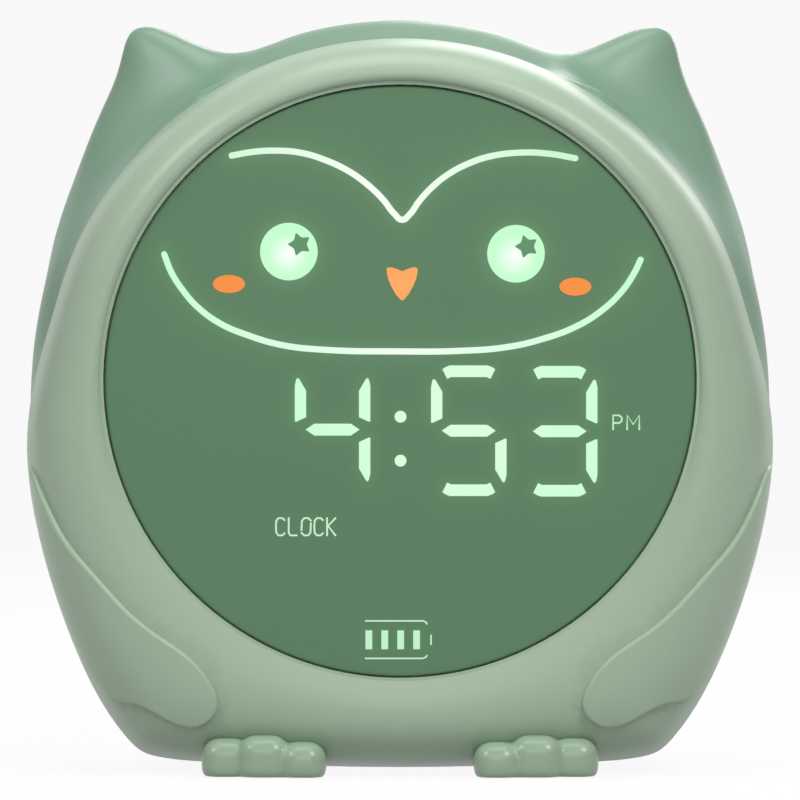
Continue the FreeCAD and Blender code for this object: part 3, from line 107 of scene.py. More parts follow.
class Graph:
    """Small helper that adds and links nodes in one tree."""

    def __init__(self, tree: bpy.types.NodeTree) -> None:
        """Keep the tree that is being built."""
        self.tree = tree

    def add(self, kind: str, **settings: object) -> bpy.types.Node:
        """Add a node.

        Args:
            kind: Blender's type name of the node.
            settings: Attributes to set on it.

        Returns:
            The new node.
        """
        node = self.tree.nodes.new(kind)
        for name, value in settings.items():
            setattr(node, name, value)
        return node

    def link(self, source: bpy.types.NodeSocket, target: bpy.types.NodeSocket) -> None:
        """Join an output to an input."""
        self.tree.links.new(source, target)

    def feed(self, value: object, target: bpy.types.NodeSocket) -> None:
        """Give an input its value, from an output or as a plain value."""
        if isinstance(value, bpy.types.NodeSocket):
            self.link(value, target)
        else:
            target.default_value = value

    def math(self, operation: str, first: object, second: object = 0.0) -> bpy.types.NodeSocket:
        """Add a Math node on two sockets or numbers.

        Args:
            operation: The node's operation.
            first: Socket or number for its first input.
            second: Socket or number for its second input.

        Returns:
            The result socket.
        """
        node = self.add("ShaderNodeMath", operation=operation)
        self.feed(first, node.inputs[0])
        self.feed(second, node.inputs[1])
        return node.outputs[0]

    def blend(self, factor: bpy.types.NodeSocket, first: object, second: object) -> bpy.types.NodeSocket:
        """Mix two colours.

        Args:
            factor: Socket with the share of the second colour.
            first: Socket or colour with its opacity.
            second: Socket or colour with its opacity.

        Returns:
            The colour socket.
        """
        node = self.add("ShaderNodeMix", data_type="RGBA")
        self.link(factor, node.inputs["Factor"])
        self.feed(first, node.inputs["A"])
        self.feed(second, node.inputs["B"])
        return node.outputs["Result"]

    def noise(self, where: bpy.types.NodeSocket, cells: object, detail: float = 2.0) -> bpy.types.NodeSocket:
        """Add a cloudy noise.

        Args:
            where: Socket of the coordinate.
            cells: Socket or number for how many cells fit in a metre.
            detail: How many finer layers lie on top.

        Returns:
            The factor socket.
        """
        node = self.add("ShaderNodeTexNoise")
        self.link(where, node.inputs["Vector"])
        self.feed(cells, node.inputs["Scale"])
        node.inputs["Detail"].default_value = detail
        return node.outputs["Fac"]

    def here(self) -> bpy.types.NodeSocket:
        """Socket of the place on the object."""
        return self.add("ShaderNodeTexCoord").outputs["Object"]

    def effect(self, group: bpy.types.NodeTree, values: dict[str, object]) -> bpy.types.NodeOutputs:
        """Add a shared node group at the place on the object.

        Args:
            group: The group's tree.
            values: What to set on its other inputs, by name.

        Returns:
            The outputs of the new node.
        """
        node = self.add("ShaderNodeGroup", node_tree=group)
        self.link(self.here(), node.inputs["Coordinate"])
        for name, value in values.items():
            node.inputs[name].default_value = value
        return node.outputs

    def ramp(self, factor: bpy.types.NodeSocket, low: Colour, high: Colour) -> bpy.types.NodeSocket:
        """Add a ramp between two colours.

        Args:
            factor: Socket that drives it.
            low: Colour where the factor is 0.
            high: Colour where the factor is 1.

        Returns:
            The colour socket.
        """
        node = self.add("ShaderNodeValToRGB")
        for element, colour in zip(node.color_ramp.elements, (low, high)):
            element.color = (*colour, 1.0)
        self.link(factor, node.inputs["Fac"])
        return node.outputs["Color"]


class Socket(Enum):
    """What a socket of a node group carries."""

    NUMBER = "NodeSocketFloat"
    PLACE = "NodeSocketVector"
    COLOUR = "NodeSocketColor"


class EffectLibrary:
    """Node groups that several finishes share, each built once."""

    fine_detail: float = 3.0
    flow_cells: float = 38.0
    flow_height: float = 0.35
    cloud_cells: float = 22.0
    cloud_detail: float = 4.0
    middle: float = 0.5
    # Cap and colour of the painted shade laid into creases.
    deepest_painted_shade: float = 0.45
    painted_crease_shade: tuple[float, float, float, float] = (0.03, 0.05, 0.035, 1.0)

    def start(self, name: str, inputs: dict[str, Socket], outputs: dict[str, Socket]) -> tuple[
            Graph, bpy.types.NodeOutputs, bpy.types.NodeInputs]:
        """Open a new node group.

        Args:
            name: Name of the group.
            inputs: Its inputs, in order.
            outputs: Its outputs, in order.

        Returns:
            The group's graph, what comes in and what goes out.
        """
        group = bpy.data.node_groups.new(name, "ShaderNodeTree")
        for side, sockets in (("INPUT", inputs), ("OUTPUT", outputs)):
            for label, kind in sockets.items():
                group.interface.new_socket(name=label, in_out=side, socket_type=kind.value)
        graph = Graph(group)
        return graph, graph.add("NodeGroupInput").outputs, graph.add("NodeGroupOutput").inputs

    @cached_property
    def moulded_grain(self) -> bpy.types.NodeTree:
        """Height and roughness of a moulded surface, with the plastic's flow in both."""
        graph, given, made = self.start(
            "moulded_grain",
            {"Coordinate": Socket.PLACE, "Cells": Socket.NUMBER, "Roughness": Socket.NUMBER,
             "Spread": Socket.NUMBER},
            {"Height": Socket.NUMBER, "Roughness": Socket.NUMBER})
        fine = graph.noise(given["Coordinate"], given["Cells"], self.fine_detail)
        broad = graph.noise(given["Coordinate"], self.flow_cells)
        graph.link(graph.math("ADD", fine, graph.math("MULTIPLY", broad, self.flow_height)), made["Height"])
        shift = graph.math("MULTIPLY", graph.math("SUBTRACT", broad, self.middle), given["Spread"])
        graph.link(graph.math("ADD", given["Roughness"], shift), made["Roughness"])
        return graph.tree

    @cached_property
    def tone_drift_and_crease_shade(self) -> bpy.types.NodeTree:
        """Slow change of colour over a moulding, with painted shade darkening it where it folds inwards."""
        graph, given, made = self.start(
            "tone_drift_and_crease_shade",
            {"Coordinate": Socket.PLACE, "Colour": Socket.COLOUR, "Worn": Socket.COLOUR,
             "Drift": Socket.NUMBER, "CreaseShade": Socket.NUMBER},
            {"Colour": Socket.COLOUR})
        cloud = graph.noise(given["Coordinate"], self.cloud_cells, self.cloud_detail)
        tone = graph.blend(graph.math("MULTIPLY", cloud, given["Drift"]), given["Colour"], given["Worn"])
        # Painted shade: the colour is pulled toward a dark colour where the surface folds inwards, standing
        # in for shade in creases.
        bend = graph.add("ShaderNodeNewGeometry").outputs["Pointiness"]
        hollow = graph.math("MAXIMUM", graph.math("SUBTRACT", self.middle, bend), 0.0)
        shade_amount = graph.math("MINIMUM", graph.math("MULTIPLY", hollow, given["CreaseShade"]), self.deepest_painted_shade)
        graph.link(graph.blend(shade_amount, tone, self.painted_crease_shade), made["Colour"])
        return graph.tree


EFFECTS = EffectLibrary()


class Finish:
    """A finish whose material is built once, under its own name."""

    name: str

    def material(self) -> bpy.types.Material:
        """The material, built when it is first asked for."""
        made = bpy.data.materials.get(self.name)
        if made is None:
            made = bpy.data.materials.new(self.name)
            made.use_nodes = True
            self.dress(Graph(made.node_tree), made.node_tree.nodes["Principled BSDF"].inputs)
        return made

    def dress(self, graph: Graph, shader: bpy.types.NodeInputs) -> None:
        """Feed the shader's inputs, as each finish does in its own way."""
        raise NotImplementedError


@dataclass(frozen=True)
class MouldedPlastic(Finish):
    """Injection-moulded plastic with the grain of its tool."""

    name: str
    colour: Colour
    worn: Colour
    roughness: float = 0.42
    spread: float = 0.12
    drift: float = 0.35
    # Strength of the painted shade in the folds.
    crease_shade_strength: float = 2.5
    grain: Grain = Grain.SATIN
    relief: float = 0.02
    relief_depth: float = 0.0002
    coat: float = 0.0
    coat_roughness: float = 0.12

    def dress(self, graph: Graph, shader: bpy.types.NodeInputs) -> None:
        """A tone that drifts, with painted shade darkening its folds, under the grain of the tool."""
        # The tone carries random drift and painted shade in the folds.
        tone = graph.effect(EFFECTS.tone_drift_and_crease_shade, {"Colour": (*self.colour, 1.0), "Worn": (*self.worn, 1.0),
                                                 "Drift": self.drift, "CreaseShade": self.crease_shade_strength})
        graph.link(tone["Colour"], shader["Base Color"])
        grain = graph.effect(EFFECTS.moulded_grain, {"Cells": self.grain.value, "Roughness": self.roughness,
                                                     "Spread": self.spread})
        graph.link(grain["Roughness"], shader["Roughness"])
        bump = graph.add("ShaderNodeBump")
        bump.inputs["Strength"].default_value = self.relief
        bump.inputs["Distance"].default_value = self.relief_depth
        graph.link(grain["Height"], bump.inputs["Height"])
        graph.link(bump.outputs["Normal"], shader["Normal"])
        shader["Coat Weight"].default_value = self.coat
        shader["Coat Roughness"].default_value = self.coat_roughness


@dataclass(frozen=True)
class PlatedMetal(Finish):
    """Zinc or nickel plating with fine turning marks."""

    name: str
    colour: Colour
    roughness: float = 0.32
    mark_cells: float = 3000.0
    mark_depth: float = 0.2

    def dress(self, graph: Graph, shader: bpy.types.NodeInputs) -> None:
        """Bare metal whose roughness follows the marks."""
        shader["Base Color"].default_value = (*self.colour, 1.0)
        shader["Metallic"].default_value = 1.0
        marks = graph.math("MULTIPLY", graph.noise(graph.here(), self.mark_cells), self.mark_depth)
        graph.link(graph.math("ADD", marks, self.roughness), shader["Roughness"])


@dataclass(frozen=True)
class LitFilm(Finish):
    """Milky film lit from behind, whitest in front of its lamp."""

    name: str
    lit: Colour
    centre: Colour
    spot: tuple[float, float, float] = (0.0, 0.0, 0.0)
    reach: float = 0.05
    strength: float = 1.0
    unlit: Colour = (0.02, 0.03, 0.02)
    roughness: float = 0.5
    gloss: float = 0.1
    grain_cells: float = 700.0
    grain_share: float = 0.12

    def dress(self, graph: Graph, shader: bpy.types.NodeInputs) -> None:
        """Light that fades with the distance from the lamp."""
        shader["Base Color"].default_value = (*self.unlit, 1.0)
        shader["Roughness"].default_value = self.roughness
        shader["Specular IOR Level"].default_value = self.gloss
        here = graph.here()
        gap = graph.add("ShaderNodeVectorMath", operation="DISTANCE")
        graph.link(here, gap.inputs[0])
        gap.inputs[1].default_value = self.spot
        away = graph.math("DIVIDE", gap.outputs["Value"], self.reach)
        grain = graph.math("MULTIPLY", graph.noise(here, self.grain_cells), self.grain_share)
        light = graph.ramp(graph.math("ADD", away, grain), self.centre, self.lit)
        graph.link(light, shader["Emission Color"])
        shader["Emission Strength"].default_value = self.strength


@dataclass(frozen=True)
class DarkLens(Finish):
    """Tinted acrylic in front of the mask, with the light that bleeds round the lit shapes."""

    name: str
    colour: Colour
    bleed: Colour
    roughness: float = 0.38
    spread: float = 0.06
    drift: float = 0.5
    paler: float = 1.12
    gloss: float = 0.3
    strength: float = 1.0

    def dress(self, graph: Graph, shader: bpy.types.NodeInputs) -> None:
        """A tint with a fine spark, and the light stored on the mesh as its halo."""
        worn = [self.paler * part for part in self.colour]
        tone = graph.effect(EFFECTS.tone_drift_and_crease_shade, {"Colour": (*self.colour, 1.0), "Worn": (*worn, 1.0),
                                                 "Drift": self.drift, "CreaseShade": 0.0})
        graph.link(tone["Colour"], shader["Base Color"])
        grain = graph.effect(EFFECTS.moulded_grain, {"Cells": Grain.SPARK.value, "Roughness": self.roughness,
                                                     "Spread": self.spread})
        graph.link(grain["Roughness"], shader["Roughness"])
        halo = graph.add("ShaderNodeAttribute", attribute_name=HALO)
        glow = graph.blend(halo.outputs["Fac"], (0.0, 0.0, 0.0, 1.0), (*self.bleed, 1.0))
        graph.link(glow, shader["Emission Color"])
        shader["Emission Strength"].default_value = self.strength
        shader["Specular IOR Level"].default_value = self.gloss


LIGHT_SAGE = MouldedPlastic("light_sage_satin", linear(164, 187, 162), linear(178, 199, 176), roughness=0.36)
BLUE_SAGE = MouldedPlastic("blue_sage_satin", linear(124, 157, 133), linear(138, 170, 146), roughness=0.36)
GLOSS_SAGE = MouldedPlastic("light_sage_gloss", linear(152, 177, 150), linear(164, 188, 162), roughness=0.3,
                            spread=0.05, grain=Grain.POLISHED, relief=0.004, coat=0.15)
BUTTON_SAGE = MouldedPlastic("button_sage", linear(166, 188, 164), linear(180, 200, 178), roughness=0.34)
PAD_RUBBER = MouldedPlastic("pad_rubber", linear(70, 80, 73), linear(95, 105, 98), roughness=0.75,
                            relief=0.08)
BLACK_PLASTIC = MouldedPlastic("black_plastic", linear(28, 28, 30), linear(52, 52, 55), roughness=0.5)
WHITE_PLASTIC = MouldedPlastic("white_plastic", linear(232, 232, 226), linear(214, 214, 208), roughness=0.45)
BOARD_GREEN = MouldedPlastic("board_green", linear(24, 92, 52), linear(40, 112, 70), roughness=0.3, coat=0.4)
CELL_BLUE = MouldedPlastic("cell_blue", linear(46, 98, 150), linear(70, 120, 168), roughness=0.3, coat=0.3)
STAR_GREEN = MouldedPlastic("star_green", linear(96, 152, 108), linear(102, 158, 114), roughness=0.5,
                            drift=0.2)
SCREW_STEEL = PlatedMetal("screw_steel", linear(176, 178, 182))
SOCKET_STEEL = PlatedMetal("socket_steel", linear(192, 193, 196), roughness=0.24)

NODE_FINISHES: dict[str, Finish] = {
    "front_shell": LIGHT_SAGE, "rear_shell": BLUE_SAGE, "foot_left": GLOSS_SAGE, "foot_right": GLOSS_SAGE,
    "base_pads": PAD_RUBBER, "switch_knob": BUTTON_SAGE, "switch_body": BLACK_PLASTIC,
    "usb_socket": SOCKET_STEEL, "case_screws": SCREW_STEEL, "board_screws": SCREW_STEEL,
    "display_screws": SCREW_STEEL, "speaker_screws": SCREW_STEEL,
    "foot_screws": SCREW_STEEL, "battery_screws": SCREW_STEEL,
    "battery_contacts": SOCKET_STEEL, "battery_cell": CELL_BLUE, "battery_holder": BLACK_PLASTIC,
    "speaker_frame": BLACK_PLASTIC, "speaker_cone": BLACK_PLASTIC, "speaker_gasket": PAD_RUBBER,
    "speaker_magnet": SCREW_STEEL, "display_board": BOARD_GREEN, "main_board": BOARD_GREEN,
    "tact_switches": BLACK_PLASTIC, "light_box": WHITE_PLASTIC, "diffuser_sheet": WHITE_PLASTIC,
    "face_mask": BLACK_PLASTIC, "display_leds": WHITE_PLASTIC, "flex_cable": WHITE_PLASTIC,
}


LEVEL_BAR = ((-5.0, 0.0), (-3.4, 1.1), (3.4, 1.1), (5.0, 0.0), (3.4, -1.1), (-3.4, -1.1))
CAP_BAR = ((-4.9, 11.4), (-4.3, 11.8), (-3.5, 12.1), (3.5, 12.1), (4.3, 11.8), (4.9, 11.4), (4.0, 9.6),
           (3.3, 9.95), (-3.3, 9.95), (-4.0, 9.6))
UPRIGHT_BAR = ((4.9, 7.2), (6.15, 9.35), (6.45, 9.6), (6.75, 9.3), (7.0, 8.1), (7.0, 1.5), (6.65, 1.5),
               (4.9, 2.3))


class Bar(Enum):
    """The bars that the lit digits use: outline, side across and side up."""

    TOP = (CAP_BAR, 1, 1)
    MIDDLE = (LEVEL_BAR, 1, 1)
    BOTTOM = (CAP_BAR, 1, -1)
    UPPER_LEFT = (UPRIGHT_BAR, -1, 1)
    UPPER_RIGHT = (UPRIGHT_BAR, 1, 1)
    LOWER_RIGHT = (UPRIGHT_BAR, 1, -1)


LIT_BARS: dict[str, tuple[Bar, ...]] = {
    "4": (Bar.UPPER_LEFT, Bar.UPPER_RIGHT, Bar.MIDDLE, Bar.LOWER_RIGHT),
    "5": (Bar.TOP, Bar.UPPER_LEFT, Bar.MIDDLE, Bar.LOWER_RIGHT, Bar.BOTTOM),
    "3": (Bar.TOP, Bar.UPPER_RIGHT, Bar.MIDDLE, Bar.LOWER_RIGHT, Bar.BOTTOM),
}

GLYPHS: dict[str, tuple[tuple[Plane, ...], ...]] = {
    "C": (((1.0, 0.88), (0.75, 1.0), (0.3, 1.0), (0.05, 0.85), (0.0, 0.5), (0.05, 0.15), (0.3, 0.0),
           (0.75, 0.0), (1.0, 0.12)),),
    "L": (((0.0, 1.0), (0.0, 0.15), (0.2, 0.0), (0.95, 0.0)),),
    "O": (((1.0, 0.85), (0.72, 1.0), (0.3, 1.0), (0.05, 0.85), (0.0, 0.3)),
          ((0.0, 0.15), (0.28, 0.0), (0.7, 0.0), (0.95, 0.15), (1.0, 0.7))),
    "K": (((0.0, 0.0), (0.0, 1.0)), ((1.0, 1.0), (0.12, 0.55), (1.0, 0.0))),
    "P": (((0.0, 0.0), (0.0, 1.0), (0.7, 1.0), (1.0, 0.85), (1.0, 0.6), (0.7, 0.45), (0.0, 0.45)),),
    "M": (((0.0, 0.0), (0.0, 1.0), (0.5, 0.35), (1.0, 1.0), (1.0, 0.0)),),
}


@dataclass(frozen=True)
class Word:
    """A plain function word of the display, in millimetres from the lens centre."""

    letters: str
    corner: Plane
    widths: tuple[float, ...]
    height: float
    pitch: float

    def strokes(self) -> list[list[Plane]]:
        """Points of every stroke of the word."""
        strokes = []
        for index, letter in enumerate(self.letters):
            left = self.corner[0] + index * self.pitch
            for stroke in GLYPHS[letter]:
                strokes.append([(left + x * self.widths[index], self.corner[1] + z * self.height)
                                for x, z in stroke])
        return strokes


def new_piece(name: str, bm: bmesh.types.BMesh, finish: bpy.types.Material,
              smooth: bool = True) -> bpy.types.Object:
    """Turn a finished bmesh into a piece of the case.

    Args:
        name: Name of the piece.
        bm: Mesh data in metres, freed here.
        finish: Material of the piece.
        smooth: Whether its faces are shaded smooth.

    Returns:
        The new object.
    """
    bmesh.ops.recalc_face_normals(bm, faces=bm.faces)
    for face in bm.faces:
        face.smooth = smooth
    mesh = bpy.data.meshes.new(name)
    bm.to_mesh(mesh)
    bm.free()
    piece = bpy.data.objects.new(name, mesh)
    bpy.context.scene.collection.objects.link(piece)
    mesh.materials.append(finish)
    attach(piece, CASE)
    LOG.info("%s: %d faces", name, len(mesh.polygons))
    return piece


class Bleed(Enum):
    """How strongly the light of a lit shape spreads in the lens."""

    BROW = 1.0
    CHEEK_LINE = 0.9
    EYE = 0.8
    DIGIT = 0.5
    GLINT = 0.3
    CELL_BAR = 0.25
    THIN = 0.15


@dataclass
class DisplayArt:
    """Everything that lights up behind the lens, in millimetres from the lens centre."""

    lens_low: Vector
    lens_high: Vector
    relief: float = 0.03
    line_width: float = 1.15
    thin_width: float = 0.34
    tube_steps: int = 2
    curve_steps: int = 12
    cap_sides: int = 16
    brow: tuple[Plane, ...] = ((-31.2, 41.8), (-27.1, 42.5), (-22.4, 42.7), (-18.3, 42.3), (-14.2, 41.1),
                               (-9.5, 38.9), (-6.0, 36.4), (-3.1, 33.6), (-1.05, 31.0), (0.4, 29.9),
                               (1.8, 30.9), (3.6, 33.4), (6.0, 36.0), (8.9, 38.3), (12.2, 40.1),
                               (16.5, 41.6), (22.5, 42.35), (27.9, 42.1), (32.5, 41.3))
    cheek_line: tuple[Plane, ...] = ((-43.7, 23.5), (-42.4, 20.2), (-40.3, 16.9), (-37.5, 13.7),
                                     (-33.2, 10.6), (-28.5, 8.6), (-22.0, 6.7), (-14.0, 5.8), (0.0, 5.5),
                                     (11.0, 5.6), (19.8, 6.3), (26.4, 7.8), (32.6, 10.1), (37.3, 13.0),
                                     (41.0, 16.5), (43.4, 20.0), (44.6, 22.5))
    eyes: tuple[Plane, ...] = ((-20.6, 24.0), (21.5, 23.6))
    eye_radius: float = 5.34
    glint_radius: float = 6.6
    pupil_shift: Plane = (2.0, 1.35)
    pupil_radius: float = 2.3
    pupil_waist: float = 0.56
    pupil_points: int = 5
    pupil_round: float = 0.3
    round_steps: int = 4
    eye_lamp_shift: Plane = (-0.1, -0.5)
    eye_lamp_reach: float = 0.0042
    glint_drop: float = 0.3
    glint_arc: tuple[int, int] = (14, 23)
    bleed_sides: int = 24
    cheeks: tuple[Plane, ...] = ((-31.7, 18.0), (32.5, 17.5))
    cheek_half: Plane = (2.97, 1.67)
    beak_outline: tuple[Plane, ...] = ((0.4, 20.35), (-0.5, 20.75), (-1.4, 21.05), (-2.2, 21.1), (-2.5, 20.8),
                                       (-2.45, 20.1), (-2.2, 19.0), (-1.7, 17.7), (-0.8, 16.1), (0.1, 15.05),
                                       (0.4, 14.9), (0.7, 15.05), (1.6, 16.1), (2.5, 17.7), (3.0, 19.0),
                                       (3.25, 20.1), (3.3, 20.8), (3.0, 21.1), (2.2, 21.05), (1.3, 20.75))
    digits: tuple[tuple[str, Plane], ...] = (("4", (-12.5, -9.0)), ("5", (12.75, -9.2)), ("3", (29.6, -9.3)))
    colon: tuple[Plane, ...] = ((0.1, -6.6), (0.1, -14.75))
    colon_radius: float = 1.1
    words: tuple[Word, ...] = (Word("CLOCK", (-23.0, -28.6), (1.6, 1.55, 1.75, 1.6, 1.55), 3.2, 2.37),
                               Word("PM", (39.5, -8.95), (1.6, 2.25), 2.6, 2.6))
    cell_top: tuple[Plane, ...] = ((-6.4, -44.45), (4.2, -44.45), (4.75, -44.65), (5.0, -45.0))
    cell_middle: float = -47.925
    cell_nub: tuple[Plane, ...] = ((5.75, -47.1), (5.75, -48.8))
    cell_thinner: float = 0.85
    cell_bars: int = 4
    cell_bar: Plane = (1.25, 3.5)
    cell_bar_top: float = -46.2
    cell_bar_pitch: float = 2.95
    outlines: list[tuple[float, list[Plane]]] = field(default_factory=list)

    def __post_init__(self) -> None:
        """Work out the lens centre and its front plane."""
        self.centre = (self.lens_low + self.lens_high) / 2.0
        self.front = self.lens_low.y

    def place(self, point: Plane) -> Vector:
        """A point of the display on the front of the lens."""
        return Vector((self.centre.x + point[0] * MM, self.front, self.centre.z + point[1] * MM))

    def line(self, name: str, strokes: list[list[Plane]], width: float, finish: LitFilm, curved: bool,
             bleed: Bleed) -> None:
        """Lay glowing lines with round ends on the lens.

        Args:
            name: Name of the piece.
            strokes: Points of each line.
            width: Width of the lines.
            finish: Their finish.
            curved: Whether the lines run smoothly through their points.
            bleed: How strongly their light spreads in the lens.
        """
        bm = bmesh.new()
        for stroke in strokes:
            data = bpy.data.curves.new(name + "_stroke", "CURVE")
            data.dimensions = "3D"
            data.bevel_depth = width * MM / 2.0
            data.bevel_resolution = self.tube_steps
            data.resolution_u = self.curve_steps if curved else 1
            data.use_fill_caps = True
            spline = data.splines.new("BEZIER")
            spline.bezier_points.add(len(stroke) - 1)
            for knot, point in zip(spline.bezier_points, stroke):
                knot.co = self.place(point)
                knot.handle_left_type = "AUTO" if curved else "VECTOR"
                knot.handle_right_type = knot.handle_left_type
            helper = bpy.data.objects.new(name + "_stroke", data)
            bpy.context.scene.collection.objects.link(helper)
            bpy.context.view_layer.update()
            solved = helper.evaluated_get(bpy.context.evaluated_depsgraph_get())
            mesh = bpy.data.meshes.new_from_object(solved)
            bm.from_mesh(mesh)
            bpy.data.meshes.remove(mesh)
            bpy.data.objects.remove(helper)
            bpy.data.curves.remove(data)
            for end in (stroke[0], stroke[-1]):
                bmesh.ops.create_uvsphere(bm, u_segments=self.cap_sides, v_segments=self.cap_sides // 2,
                                          radius=width * MM / 2.0, matrix=Matrix.Translation(self.place(end)))
            self.outlines.append((bleed.value, stroke))
        flat = Matrix.Diagonal((1.0, 2.0 * self.relief / width, 1.0, 1.0))
        anchor = Matrix.Translation((0.0, self.front, 0.0))
        bmesh.ops.transform(bm, matrix=anchor @ flat @ anchor.inverted(), verts=bm.verts)
        new_piece(name, bm, finish.material())

    def plate(self, bm: bmesh.types.BMesh, outline: list[Plane], lift: float) -> None:
        """Add a thin plate of any outline to a mesh."""
        corners = [bm.verts.new(self.place(point)) for point in outline]
        bottom = bm.faces.new(corners)
        risen = bmesh.ops.extrude_face_region(bm, geom=[bottom])
        moved = [item for item in risen["geom"] if isinstance(item, bmesh.types.BMVert)]
        bmesh.ops.translate(bm, vec=(0.0, -lift * MM, 0.0), verts=moved)

    def disc(self, centre: Plane, half: Plane, sides: int = 64) -> list[Plane]:
        """Points round an ellipse."""
        points = []
        for step in range(sides):
            turn = 2.0 * math.pi * step / sides
            points.append((centre[0] + half[0] * math.cos(turn), centre[1] + half[1] * math.sin(turn)))
        return points

    def bar(self, which: Bar, centre: Plane) -> list[Plane]:
        """Corners of one bar of the digit round a centre."""
        outline, across, up = which.value
        return [(centre[0] + across * x, centre[1] + up * z) for x, z in outline]

    def digits_piece(self) -> None:
        """The time: three digits of seven bars and a colon."""
        bm = bmesh.new()
        for sign, centre in self.digits:
            for which in LIT_BARS[sign]:
                corners = self.bar(which, centre)
                self.outlines.append((Bleed.DIGIT.value, corners + corners[:1]))
                self.plate(bm, corners, self.relief)
        for centre in self.colon:
            dot = self.disc(centre, (self.colon_radius, self.colon_radius), 32)
            self.outlines.append((Bleed.DIGIT.value, [centre, centre]))
            self.plate(bm, dot, self.relief)
        film = LitFilm("lit_digits", linear(198, 252, 214), linear(224, 255, 222),
                       spot=tuple(self.place((10.0, -9.0))), reach=0.035)
        new_piece("lit_digits", bm, film.material(), smooth=False)

    def eye(self, side: str, centre: Plane) -> None:
        """One eye, with the glint of its lamp below it."""
        rim = (self.eye_radius, self.eye_radius)
        lamp = (centre[0] + self.eye_lamp_shift[0], centre[1] + self.eye_lamp_shift[1])
        film = LitFilm("lit_eye_" + side, linear(196, 252, 206), linear(255, 255, 255),
                       spot=tuple(self.place(lamp)), reach=self.eye_lamp_reach)
        bm = bmesh.new()
        self.plate(bm, self.disc(centre, rim), self.relief)
        new_piece("lit_eye_" + side, bm, film.material(), smooth=False)
        self.outlines.append((Bleed.EYE.value, self.disc(centre, rim, self.bleed_sides)))
        below = self.disc((centre[0], centre[1] - self.glint_drop), (self.glint_radius, self.glint_radius),
                          self.bleed_sides)
        self.outlines.append((Bleed.GLINT.value, below[slice(*self.glint_arc)]))

    def pupil(self, side: str, centre: Plane) -> None:
        """The star pupil in front of one eye."""
        middle = (centre[0] + self.pupil_shift[0], centre[1] + self.pupil_shift[1])
        star = []
        for corner in range(2 * self.pupil_points):
            reach = self.pupil_radius * (1.0 if corner % 2 == 0 else self.pupil_waist)
            turn = math.pi + corner * math.pi / self.pupil_points
            star.append((middle[0] + reach * math.cos(turn), middle[1] + reach * math.sin(turn)))
        bm = bmesh.new()
        self.plate(bm, star, self.relief * 2.0)
        tips = [edge for edge in bm.edges
                if abs(edge.verts[0].co.y - edge.verts[1].co.y) > self.relief * MM]
        bmesh.ops.bevel(bm, geom=tips, offset=self.pupil_round * MM, segments=self.round_steps, profile=0.5,
                        affect="EDGES", material=-1)
        new_piece("star_pupil_" + side, bm, STAR_GREEN.material(), smooth=False)

    def beak_and_cheeks(self) -> None:
        """The orange shapes of the face."""
        orange = LitFilm("lit_orange", linear(246, 140, 62), linear(252, 168, 96),
                         spot=tuple(self.place((0.0, 18.0))), reach=0.03)
        bm = bmesh.new()
        for centre in self.cheeks:
            self.plate(bm, self.disc(centre, self.cheek_half, 40), self.relief)
        self.plate(bm, list(self.beak_outline), self.relief)
        new_piece("lit_beak_and_cheeks", bm, orange.material(), smooth=False)

    def build(self) -> None:
        """Lay every lit shape on the lens."""
        brow = LitFilm("lit_brow", linear(205, 245, 210), linear(252, 255, 248),
                       spot=tuple(self.place((-4.0, 37.0))), reach=0.034)
        self.line("lit_brow", [list(self.brow)], self.line_width, brow, True, Bleed.BROW)
        cheek = LitFilm("lit_cheek_line", linear(200, 250, 212), linear(240, 255, 240),
                        spot=tuple(self.place((0.0, 5.0))), reach=0.045)
        self.line("lit_cheek_line", [list(self.cheek_line)], self.line_width, cheek, True, Bleed.CHEEK_LINE)
        for side, centre in zip(("left", "right"), self.eyes):
            self.eye(side, centre)
            self.pupil(side, centre)
        self.beak_and_cheeks()
        self.digits_piece()
        thin = LitFilm("lit_thin", linear(186, 236, 200), linear(200, 244, 208),
                       spot=tuple(self.place((0.0, -20.0))), reach=0.05)
        for word in self.words:
            name = "lit_word_" + word.letters.lower()
            self.line(name, word.strokes(), self.thin_width, thin, False, Bleed.THIN)
        self.battery_mark(thin)

    def battery_mark(self, thin: LitFilm) -> None:
        """The sign of a full cell at the foot of the display.

        Args:
            thin: Finish of the thin shapes.
        """
        foot = [(x, 2.0 * self.cell_middle - z) for x, z in self.cell_top]
        self.line("lit_cell_outline", [list(self.cell_top), foot, list(self.cell_nub)],
                  self.thin_width * self.cell_thinner, thin, False, Bleed.THIN)
        bm = bmesh.new()
        for index in range(self.cell_bars):
            left = self.cell_top[0][0] + index * self.cell_bar_pitch
            right = left + self.cell_bar[0]
            low = self.cell_bar_top - self.cell_bar[1]
            bar = [(left, self.cell_bar_top), (right, self.cell_bar_top), (right, low), (left, low)]
            self.outlines.append((Bleed.CELL_BAR.value, bar))
            self.plate(bm, bar, self.relief)
        new_piece("lit_cell_bars", bm, thin.material(), smooth=False)


